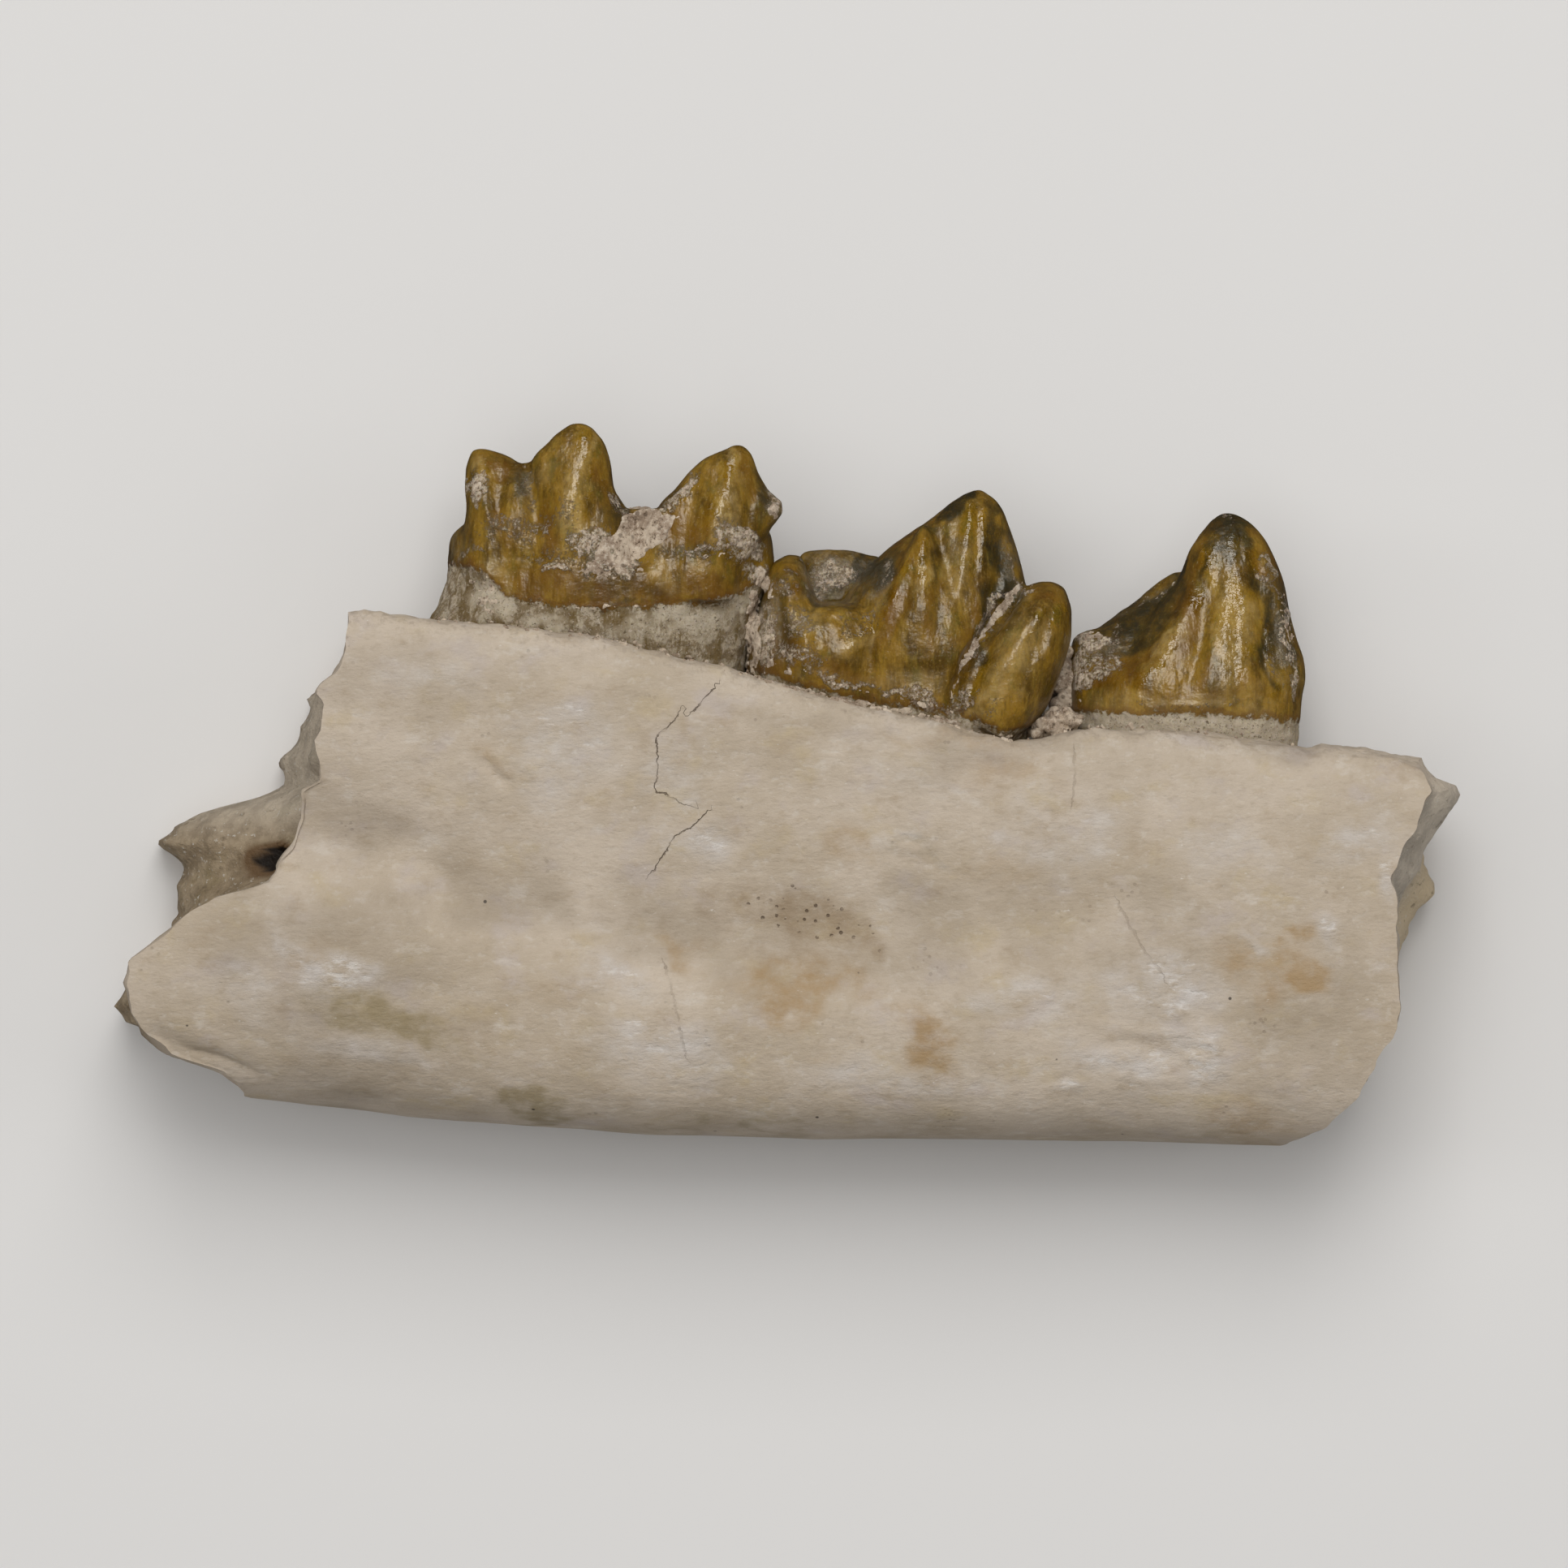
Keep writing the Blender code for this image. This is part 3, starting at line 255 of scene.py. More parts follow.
# Strokes worked into a surface: (points (x, y), side, width, height); side 1 is the tongue side
MOLAR_STROKES = [
    ([(-3.15, 6.0), (-3.15, 4.6), (-3.2, 2.8)], -1, 0.3, -0.45),
    ([(-2.95, 5.9), (-3.0, 4.2)], 1, 0.3, -0.3),
    ([(-5.23, 6.8), (-5.2, 6.2), (-5.05, 5.6), (-5.0, 4.9)], 1, 0.16, -0.16),
    ([(-1.0, 7.1), (-1.1, 6.13), (-1.27, 5.45), (-1.6, 4.5)], 1, 0.24, 0.08),
    ([(-1.7, 6.5), (-1.95, 5.4), (-2.1, 4.4)], 1, 0.24, -0.08),
    ([(-0.55, 6.4), (-0.72, 5.5), (-0.85, 4.5)], 1, 0.15, -0.1),
    ([(-3.8, 7.5), (-4.0, 6.63), (-4.2, 6.07), (-4.4, 5.5), (-4.5, 4.7)], 1, 0.26, 0.09),
    ([(-3.7, 6.8), (-3.85, 6.2), (-3.95, 5.4)], 1, 0.12, 0.03),
    ([(-4.75, 6.9), (-4.85, 5.8), (-4.85, 4.8)], 1, 0.2, -0.06),
    ([(-6.19, 6.9), (-6.17, 5.9), (-5.9, 5.1)], 1, 0.14, 0.08),
    ([(-5.75, 6.5), (-5.75, 5.2)], 1, 0.14, -0.06),
    ([(-6.5, 4.6), (-6.1, 4.3), (-5.5, 3.9)], 1, 0.12, 0.06),
    ([(-6.6, 4.15), (-3.4, 4.05), (-0.5, 4.2)], 1, 0.34, 0.03),
    ([(-6.9, 4.62), (-4.0, 4.5), (-0.6, 4.6)], 1, 0.1, -0.02),
    ([(0.0, 4.5), (-0.35, 4.1), (-0.75, 3.6), (-0.9, 3.2)], 1, 0.1, 0.08),
    ([(-0.15, 4.9), (-0.6, 4.3), (-1.0, 3.9)], 1, 0.1, -0.07),
]
REAR_PREMOLAR_STROKES = [
    ([(2.84, 5.6), (2.79, 4.6), (2.78, 3.95), (2.75, 3.1)], 1, 0.17, 0.05),
    ([(2.75, 5.3), (2.35, 4.3), (2.06, 3.7), (1.7, 3.05), (1.25, 2.66), (0.6, 2.45)], 1, 0.2, 0.1),
    ([(2.55, 4.5), (2.35, 3.6), (2.0, 2.7)], 1, 0.12, -0.05),
    ([(3.12, 5.5), (3.15, 4.5), (3.1, 3.6), (3.0, 2.6)], 1, 0.16, -0.08),
    ([(3.68, 6.2), (3.7, 5.2), (3.6, 4.5), (3.45, 3.4)], 1, 0.14, 0.07),
    ([(4.0, 5.8), (4.0, 4.95), (3.95, 4.1)], 1, 0.08, 0.06),
    ([(4.45, 5.4), (4.4, 4.4), (4.25, 3.7), (4.05, 2.9)], 1, 0.2, -0.2),
    ([(4.95, 4.3), (4.49, 3.66), (4.09, 3.16), (3.69, 2.61), (3.4, 1.9), (3.3, 1.0)], 1, 0.12, -0.28),
    ([(5.5, 4.2), (4.95, 3.2), (4.5, 2.55), (4.15, 2.1), (3.75, 1.3)], 1, 0.16, 0.08),
    ([(5.55, 3.9), (5.42, 3.1), (5.1, 2.2)], 1, 0.1, 0.05),
    ([(5.25, 3.3), (4.85, 2.3), (4.5, 1.4)], 1, 0.13, -0.05),
    ([(1.3, 5.0), (1.35, 3.6), (1.4, 1.8)], -1, 0.3, -0.25),
    ([(-0.1, 3.6), (0.35, 2.95), (0.55, 2.3)], 1, 0.28, 0.1),
    ([(-0.2, 4.2), (-0.05, 3.0), (0.05, 2.1)], 1, 0.12, -0.08),
    ([(0.2, 4.4), (0.42, 3.85), (0.62, 3.58), (0.975, 3.42), (1.38, 3.52), (1.75, 3.95), (2.1, 4.5)], 1,
      0.08, 0.045),
    ([(0.3, 2.5), (1.6, 2.1), (2.6, 1.9), (3.6, 1.75)], 1, 0.22, 0.015),
]
FRONT_PREMOLAR_STROKES = [
    ([(8.7, 5.3), (8.35, 4.1), (8.0, 3.25), (7.5, 2.5), (6.8, 1.9)], 1, 0.22, 0.09),
    ([(8.25, 4.7), (7.9, 3.7), (7.45, 3.05), (6.7, 2.35)], 1, 0.12, -0.08),
    ([(8.7, 4.4), (8.5, 3.1), (8.2, 2.3), (7.9, 1.6)], 1, 0.18, -0.08),
    ([(8.78, 5.9), (8.72, 4.0), (8.7, 2.9), (8.68, 1.2)], 1, 0.36, 0.055),
    ([(9.16, 5.9), (9.24, 4.0), (9.3, 2.9), (9.34, 1.2)], 1, 0.36, 0.055),
    ([(8.42, 4.6), (8.32, 3.5), (8.25, 2.4)], 1, 0.16, -0.06),
    ([(9.45, 5.1), (9.6, 3.6), (9.65, 2.0)], 1, 0.13, -0.09),
    ([(9.75, 4.6), (10.02, 3.4), (10.12, 2.5), (10.15, 1.6)], 1, 0.1, 0.08),
    ([(9.75, 4.0), (9.9, 2.9), (9.95, 2.0)], 1, 0.1, -0.07),
    ([(5.7, 1.68), (7.9, 1.62), (9.7, 1.55), (10.8, 1.5)], 1, 0.16, 0.01),
]
BONE_STROKES = [
    ([(-11.5, -0.3), (-9.5, -0.9), (-7.7, -1.5), (-5.4, -2.45), (-2.7, -2.9), (-0.1, -3.25), (2.5, -3.4),
      (4.5, -3.5)], 1, 1.1, -0.32),
    ([(-6.15, 0.6), (-5.75, 0.15), (-5.4, -0.1)], 1, 0.1, -0.07),
    ([(-6.0, 0.68), (-5.5, 0.2)], 1, 0.08, 0.03),
    ([(-13.0, -4.9), (-11.6, -5.5), (-10.2, -5.9)], 1, 0.25, -0.12),
    ([(0.0, 1.55), (2.2, 1.1), (4.4, 0.6), (6.0, 0.85)], 1, 0.25, 0.06),
    ([(-6.0, -6.0), (0.0, -6.3), (8.0, -6.4)], 1, 0.6, 0.08),
    ([(2.2, -0.9), (2.9, -1.2)], 1, 0.1, -0.05),
    ([(2.1, -1.5), (3.0, -1.6)], 1, 0.08, -0.04),
    ([(-8.6, -4.0), (-6.0, -4.6), (-3.5, -5.0)], 1, 0.8, -0.08),
    ([(-1.6, -0.8), (-0.9, -1.4)], 1, 0.2, -0.04),
    ([(6.9, -5.2), (8.6, -5.6)], 1, 0.25, -0.05),
    ([(7.95, -5.62), (8.1, -5.42), (8.3, -5.45), (8.5, -5.7)], 1, 0.09, 0.07),
    ([(8.3, -5.12), (8.55, -5.2), (8.8, -5.4)], 1, 0.08, 0.07),
    ([(8.0, -5.2), (8.35, -5.4)], 1, 0.08, -0.05),
    ([(5.8, -4.7), (6.6, -4.85), (7.4, -4.95), (8.2, -4.95)], 1, 0.08, 0.035),
    ([(6.0, -5.3), (6.9, -5.15), (7.7, -5.3)], 1, 0.1, -0.03),
    ([(6.4, -5.75), (7.3, -5.95), (8.2, -5.95)], 1, 0.08, 0.03),
    ([(5.45, -5.85), (5.75, -5.95)], 1, 0.09, -0.05),
    ([(7.55, -4.35), (7.9, -4.6), (7.75, -4.75)], 1, 0.08, 0.04),
    ([(-12.2, -5.3), (-11.3, -5.5), (-10.6, -5.85)], 1, 0.09, -0.09),
    ([(-9.8, -3.2), (-9.3, -3.75), (-8.6, -3.9)], 1, 0.1, 0.035),
    ([(-5.9, 0.75), (-5.3, 0.45), (-4.9, 0.1)], 1, 0.07, 0.03),
    ([(1.6, -1.3), (2.4, -1.45), (3.4, -1.4)], 1, 0.07, -0.03),
    ([(-4.6, -3.0), (-3.3, -3.2), (-2.4, -3.5)], 1, 0.1, 0.03),
    ([(-8.0, 0.5), (0.0, -0.6), (9.0, -2.2)], -1, 1.6, -0.12),
    ([(-7.0, 2.6), (-2.0, 2.0), (4.0, 0.6)], -1, 0.5, 0.12),
]

# Holes in the broken rear face: (y, z), radius and depth
REAR_HOLES = [
    ((-1.5, 2.95), 0.25, 0.7), ((0.0, 3.5), 0.17, 0.5), ((-0.75, 3.3), 0.11, 0.25),
]

# Hairline cracks of the tongue side, each point (x, y)
CRACKS = [
    [(-1.45, 1.92), (-1.63, 1.71), (-1.83, 1.48)],
    [(-2.16, 1.39), (-2.35, 1.13), (-2.6, 0.95), (-2.55, 0.61), (-2.54, 0.23), (-2.65, -0.11),
     (-2.34, -0.21), (-2.08, -0.36)],
    [(-1.63, -0.59), (-1.9, -0.87), (-2.21, -1.03), (-2.39, -1.35), (-2.65, -1.72)],
]
FAINT_CRACKS = [
    [(-2.39, -3.66), (-2.27, -4.1), (-2.14, -4.68), (-1.99, -5.37)],
    [(6.69, -2.43), (7.1, -3.2), (7.55, -3.82)],
    [(5.78, 0.61), (5.8, 0.2), (5.75, -0.3)],
]

# Lower limit of the enamel, each point (x, y)
MOLAR_ENAMEL = [
    (-7.4, 4.35), (-6.6, 4.45), (-6.05, 4.3), (-5.6, 3.8), (-4.8, 3.64), (-3.5, 3.52), (-2.4, 3.6),
    (-1.3, 3.7), (-0.85, 3.9), (-0.2, 4.3),
]
REAR_PREMOLAR_ENAMEL = [
    (-0.8, 2.35), (0.2, 2.05), (1.5, 1.72), (3.4, 1.45), (4.4, 1.05), (5.9, 1.4),
]
FRONT_PREMOLAR_ENAMEL = [
    (5.6, 1.53), (6.69, 1.44), (7.92, 1.47), (8.74, 1.43), (9.72, 1.35), (10.6, 1.28),
]

# Soft marks: (x, y, half length, half width, turn in degrees, strength). On the bone they are stains,
# a bluish film with painted sheen and zones of painted shade, on the tongue side and on the cheek side
BONE_MARKS = {
    # Painted shade: soft darker zones that stand in for the shading of the trough below the crest and of
    # other hollows
    "painted_shade": [
        (-8.2, -3.0, 2.2, 0.8, -10, 0.7), (-9.8, -3.0, 1.9, 1.4, 0, 0.9),
        (-9.6, -4.9, 1.5, 0.8, -20, 0.9), (-8.2, -6.0, 1.6, 0.6, -5, 0.7), (0.4, -3.9, 1.8, 0.6, 0, 0.5),
        (-7.6, 2.1, 1.6, 0.9, 0, 0.5), (-8.0, -0.8, 1.6, 0.9, -20, 0.95),
        (-5.4, -2.0, 1.8, 0.9, -20, 0.95), (-2.7, -2.8, 1.5, 1.4, 0, 0.9), (0.0, -2.9, 1.5, 0.9, 0, 0.6),
        (2.5, -3.3, 1.4, 1.1, 0, 0.65), (7.7, -3.4, 1.6, 1.0, 0, 0.5), (10.4, -4.6, 1.7, 1.6, 0, 0.75),
        (3.8, 0.8, 2.6, 0.5, -6, 0.75), (10.5, 0.6, 1.3, 0.3, -5, 0.8), (-7.7, -5.0, 1.7, 0.9, 0, 0.5),
        (0.0, 1.7, 1.6, 0.3, -14, 0.4), (5.0, -2.9, 1.6, 0.9, 0, 0.4),
    ],
    "tan": [
        (2.85, -5.3, 0.5, 0.9, 25, 0.9), (2.3, -4.5, 0.5, 0.35, 0, 0.4),
        (10.2, -3.95, 0.72, 0.44, 0, 1.0), (10.7, -3.9, 0.3, 0.42, 0, 0.9),
        (10.1, -3.05, 0.62, 0.24, -5, 0.8), (9.75, -3.8, 1.2, 0.75, 0, 0.6),
        (9.35, -4.4, 0.14, 0.4, 0, 0.6), (9.4, -6.6, 1.1, 0.55, -5, 0.5),
        (1.2, -1.35, 0.8, 0.35, -20, 0.45), (0.4, -4.1, 1.7, 0.7, 5, 0.7),
        (-2.2, -3.3, 0.9, 0.25, -25, 0.5), (-9.4, -3.6, 0.9, 0.5, 10, 0.35),
        (4.3, 0.1, 1.3, 0.5, -5, 0.4), (3.4, 0.9, 2.0, 0.3, -12, 0.4), (-6.0, 0.6, 0.6, 0.25, -40, 0.4),
        (4.0, -1.6, 1.4, 0.5, 0, 0.3), (-4.4, -3.9, 1.2, 0.35, 0, 0.3),
    ],
    "olive": [
        (-7.6, -4.95, 1.4, 0.42, -12, 1.0), (-8.9, -4.5, 0.7, 0.35, -20, 0.55),
        (-6.4, -5.3, 0.7, 0.25, -20, 0.6), (-5.2, -6.6, 0.8, 0.2, -4, 0.9),
        (-10.3, -5.6, 0.6, 0.25, -25, 0.4), (8.0, -6.8, 1.2, 0.2, 0, 0.4),
        (2.6, -1.4, 0.9, 0.25, -5, 0.5), (-1.0, -6.9, 2.5, 0.14, 0, 0.5),
    ],
    "brown": [
        (0.2, -2.65, 1.8, 0.6, -8, 0.9), (-1.2, -2.5, 1.2, 0.5, 0, 0.55), (1.6, -3.2, 0.4, 0.6, 0, 0.7),
        (0.2, -3.5, 1.6, 0.6, 0, 0.5), (-6.0, -4.9, 0.8, 0.5, 20, 0.35), (-3.4, -2.3, 0.5, 0.35, 0, 0.35),
        (-10.0, -4.7, 0.5, 0.25, 0, 0.4), (2.9, -5.4, 0.3, 0.6, 20, 0.4),
    ],
    # Whitish scuffs whose bright flakes are partly painted sheen
    "scuff_and_sheen": [
        (-1.6, -1.15, 0.85, 0.5, 0, 0.85), (-9.0, -3.9, 1.1, 0.42, -15, 1.0),
        (-9.9, -3.3, 0.6, 0.2, -45, 0.8), (7.4, -3.95, 1.3, 0.6, -10, 0.8),
        (8.0, -4.6, 0.5, 0.5, 50, 0.95), (7.0, -5.3, 1.6, 0.5, -5, 0.8), (8.3, -5.5, 0.5, 0.35, 0, 0.95),
        (5.75, -6.05, 0.4, 0.18, 0, 0.95), (-2.5, -5.3, 1.6, 0.5, -8, 0.7),
        (-8.0, -5.6, 1.6, 0.3, -10, 0.55), (11.2, -0.9, 0.9, 0.6, 10, 0.7),
        (10.9, -2.9, 0.5, 0.25, -20, 0.9), (12.0, -1.8, 0.25, 0.8, 0, 0.7), (9.4, -3.2, 0.4, 0.2, 0, 0.7),
        (2.6, -1.3, 0.6, 0.2, -15, 0.75), (-3.6, -3.8, 1.0, 0.35, -15, 0.75),
        (-4.4, 0.8, 1.2, 0.9, 0, 0.6), (-2.3, 0.6, 0.7, 0.9, 0, 0.5), (4.6, -4.3, 1.4, 0.6, 0, 0.6),
        (-11.0, -4.3, 0.9, 0.5, -35, 0.5), (2.2, -6.0, 2.0, 0.3, -3, 0.6), (5.5, -1.0, 1.2, 0.8, 0, 0.5),
        (-6.8, 2.2, 1.0, 0.5, -10, 0.5), (8.6, -1.4, 1.0, 0.6, 0, 0.45),
    ],
}
FAR_MARKS = {
    "tan": [
        (-4.0, -2.5, 2.4, 1.1, 10, 0.6), (5.5, -4.4, 2.2, 0.8, -15, 0.6), (9.8, -1.4, 1.2, 0.7, 20, 0.5),
    ],
    # Whitish scuffs whose bright flakes are partly painted sheen
    "scuff_and_sheen": [
        (-7.5, -4.8, 2.0, 0.7, -10, 0.7), (1.5, -1.2, 1.6, 0.6, 15, 0.7), (7.4, -5.9, 1.6, 0.4, 0, 0.6),
        (0.0, -6.3, 2.2, 0.35, 0, 0.6),
    ],
}

# Soft marks on the teeth: mineral crust, dark zones, pale zones of lighter enamel and cementum that also
# carry a painted highlight glow, amber zones, grey-green crystalline film, and worn, polished enamel
MOLAR_MARKS = {
    "crust": [
        (-6.18, 5.92, 0.36, 0.24, 90, 1.0), (-6.35, 4.7, 0.35, 0.16, 10, 0.6),
        (-6.1, 3.95, 0.5, 0.35, -65, 1.0), (-3.95, 4.95, 0.55, 0.55, 20, 0.9),
        (-5.3, 5.15, 1.1, 0.45, 0, 0.6), (-0.95, 4.95, 0.5, 0.36, -30, 1.0),
        (-1.5, 4.66, 1.3, 0.26, 3, 0.66), (-3.5, 4.4, 0.8, 0.36, 0, 0.95),
        (-2.1, 5.8, 0.6, 0.22, 42, 0.9), (-0.25, 5.6, 0.35, 0.4, 0, 0.7), (-4.6, 4.28, 0.35, 0.1, 0, 0.9),
        (-6.75, 4.3, 0.6, 0.25, -70, 0.75), (-5.1, 5.9, 0.25, 0.7, 5, 0.62),
        (-0.5, 4.2, 0.3, 0.55, 20, 0.8), (-3.4, 5.6, 0.5, 0.2, -75, 0.7), (-4.7, 4.5, 1.1, 0.24, -3, 0.5),
        (-1.2, 5.2, 0.3, 0.4, 0, 0.45), (-4.4, 5.5, 0.4, 0.6, 0, 0.5),
    ],
    "dark": [
        (-5.25, 6.0, 0.22, 0.4, 10, 0.7), (-3.45, 5.5, 0.22, 0.3, 0, 0.7),
        (-3.95, 4.78, 0.08, 0.08, 0, 1.0), (-0.45, 6.0, 0.16, 0.4, 20, 0.6),
        (-3.2, 4.0, 1.1, 0.3, 0, 0.4), (-6.9, 3.9, 0.25, 0.8, -20, 0.7), (-0.72, 3.1, 0.1, 0.7, 0, 0.9),
        (-3.6, 3.6, 0.7, 0.09, 0, 0.7),
    ],
    # Pale zones: lighter enamel and cementum, with a painted highlight glow on the lit ridges
    "pale": [
        (-4.15, 6.2, 0.75, 0.3, 78, 0.9), (-4.25, 5.5, 0.5, 0.26, 80, 1.0),
        (-1.15, 5.5, 0.75, 0.18, 82, 1.0), (-2.05, 5.9, 0.35, 0.2, 45, 0.7),
        (-5.7, 4.35, 0.4, 0.16, -55, 1.0), (-6.2, 6.35, 0.3, 0.16, 90, 0.8),
        (-3.95, 6.7, 0.6, 0.12, 80, 0.9), (-1.1, 6.5, 0.6, 0.1, 85, 0.8),
        (-2.4, 4.25, 0.4, 0.14, -65, 0.6), (-1.9, 3.35, 0.8, 0.25, 0, 1.0),
        (-6.0, 3.75, 0.35, 0.35, 0, 1.0), (-4.9, 3.3, 0.5, 0.15, -5, 0.8), (-3.0, 3.1, 0.6, 0.2, 0, 0.6),
        (-0.9, 3.6, 0.4, 0.15, 60, 0.8), (-4.9, 6.3, 0.25, 0.4, 0, 0.4),
    ],
    "amber": [
        (-1.95, 5.1, 0.42, 0.4, 0, 1.0), (-4.7, 4.0, 0.7, 0.3, 0, 1.0), (-1.6, 3.95, 1.0, 0.3, 0, 0.9),
        (-4.75, 5.0, 0.5, 0.22, 90, 1.0), (-1.5, 5.2, 0.6, 0.1, 88, 0.7),
        (-5.8, 6.4, 0.45, 0.35, -20, 1.0), (-2.15, 5.15, 0.5, 0.36, 20, 1.0),
        (-3.1, 3.95, 2.4, 0.36, 0, 1.0), (-6.35, 4.3, 0.35, 0.15, 90, 0.9),
        (-4.75, 5.2, 0.6, 0.18, 85, 0.9), (-0.85, 6.2, 0.5, 0.2, -70, 0.8),
        (-5.6, 5.2, 0.5, 0.2, 90, 0.7), (-3.6, 5.9, 0.6, 0.16, -78, 0.8), (-4.8, 4.1, 0.9, 0.3, 0, 0.9),
    ],
    "haze": [
        (-5.15, 5.9, 0.2, 0.6, 5, 0.6), (-0.2, 5.55, 0.32, 0.4, 0, 0.85),
        (-6.8, 4.3, 0.35, 0.9, -20, 0.75), (-3.6, 4.5, 0.5, 0.3, 0, 0.5),
    ],
    "gloss": [
        (-3.98, 6.85, 0.6, 0.15, 80, 1.0), (-4.12, 5.9, 0.8, 0.26, 80, 0.55),
        (-1.09, 6.4, 0.6, 0.14, 80, 1.0), (-1.35, 5.6, 0.6, 0.2, 78, 0.6),
        (-6.17, 6.25, 0.3, 0.1, 90, 1.0), (-5.1, 4.6, 0.4, 0.1, -20, 0.4), (-2.0, 5.9, 0.4, 0.1, 42, 0.5),
        (-3.9, 6.0, 0.4, 0.06, 75, 0.7),
    ],
}
REAR_PREMOLAR_MARKS = {
    "crust": [
        (0.85, 4.2, 0.5, 0.6, 0, 0.85), (0.25, 3.15, 0.6, 0.5, 0, 0.62), (0.2, 2.5, 0.9, 0.35, -15, 0.7),
        (4.7, 4.2, 0.7, 0.16, -75, 0.6), (-0.45, 3.0, 0.25, 0.9, 0, 0.85), (4.9, 3.95, 0.2, 0.12, 0, 0.8),
        (3.55, 1.75, 0.35, 0.35, 0, 0.75), (1.2, 2.0, 1.0, 0.16, -12, 0.75),
        (2.6, 1.75, 1.1, 0.14, -14, 0.8), (4.2, 1.5, 0.6, 0.24, 20, 0.45), (1.9, 4.2, 0.3, 0.3, 30, 0.6),
        (-0.1, 4.0, 0.4, 0.4, 0, 0.65), (4.3, 3.5, 0.8, 0.14, 52, 0.9), (1.6, 3.3, 0.9, 0.3, 45, 0.5),
        (3.9, 3.0, 0.8, 0.2, 56, 0.6),
    ],
    "dark": [
        (1.3, 4.3, 0.12, 0.5, -30, 1.0), (1.8, 4.35, 0.42, 0.34, 30, 0.95),
        (0.75, 4.0, 0.08, 0.4, -25, 0.7), (4.38, 4.3, 0.36, 1.0, 12, 1.0),
        (3.35, 5.65, 0.5, 0.16, 42, 1.0), (4.25, 5.2, 0.16, 0.45, 10, 0.75),
        (4.1, 3.5, 0.18, 0.5, 10, 0.85), (-0.1, 3.3, 0.2, 0.9, 0, 0.6), (0.97, 3.5, 0.6, 0.05, 0, 0.5),
        (3.1, 5.35, 0.4, 0.14, 40, 0.85), (3.75, 2.6, 0.1, 0.6, -30, 0.6), (2.95, 4.6, 0.1, 0.5, 5, 0.5),
    ],
    # Pale zones: lighter enamel and cementum, with a painted highlight glow on the lit ridges
    "pale": [
        (0.4, 3.2, 0.45, 0.36, 0, 1.0), (1.55, 2.85, 0.6, 0.2, 42, 0.9), (3.4, 4.5, 0.8, 0.24, 90, 0.6),
        (4.55, 2.4, 1.1, 0.42, 60, 0.8), (2.2, 2.0, 1.1, 0.3, 0, 0.4), (2.8, 4.3, 0.5, 0.12, 90, 0.9),
        (4.0, 1.7, 0.5, 0.16, 52, 1.0), (3.5, 5.2, 0.45, 0.2, 90, 0.6), (2.0, 3.75, 0.3, 0.12, 70, 0.8),
    ],
    "amber": [
        (2.2, 3.4, 0.9, 0.3, 65, 0.9), (3.7, 3.0, 0.9, 0.25, 78, 0.8), (-0.2, 2.6, 0.5, 0.6, 0, 0.9),
        (2.4, 5.0, 0.6, 0.2, 38, 1.0), (5.3, 3.85, 0.35, 0.3, 0, 0.8), (1.2, 2.2, 0.9, 0.22, -10, 0.7),
        (3.05, 3.4, 0.9, 0.14, 88, 0.7), (2.2, 4.3, 0.6, 0.14, 45, 0.8), (0.0, 4.0, 0.35, 0.3, 0, 0.8),
    ],
    "haze": [
        (0.9, 4.25, 0.62, 0.6, 0, 1.0), (4.62, 4.35, 0.24, 0.85, 12, 0.55),
        (1.8, 4.15, 0.35, 0.45, 0, 0.75), (-0.4, 3.3, 0.3, 1.0, 0, 0.6),
    ],
    "gloss": [
        (2.78, 4.4, 0.55, 0.13, 90, 1.0), (2.1, 3.74, 0.28, 0.12, 60, 1.0),
        (1.62, 2.95, 0.55, 0.16, 42, 0.9), (3.7, 5.4, 0.6, 0.16, 82, 1.0),
        (4.02, 5.15, 0.45, 0.12, 95, 0.9), (2.42, 4.35, 0.22, 0.08, 60, 0.9),
        (3.75, 4.6, 0.5, 0.3, 90, 0.45), (5.05, 3.3, 0.35, 0.08, 60, 0.9),
        (5.48, 3.4, 0.35, 0.1, 75, 0.9), (3.95, 2.05, 0.55, 0.18, 60, 0.75),
        (0.35, 3.1, 0.45, 0.3, 0, 0.4), (4.75, 2.3, 0.7, 0.3, 60, 0.3), (-0.45, 4.2, 0.4, 0.08, 70, 0.6),
    ],
}
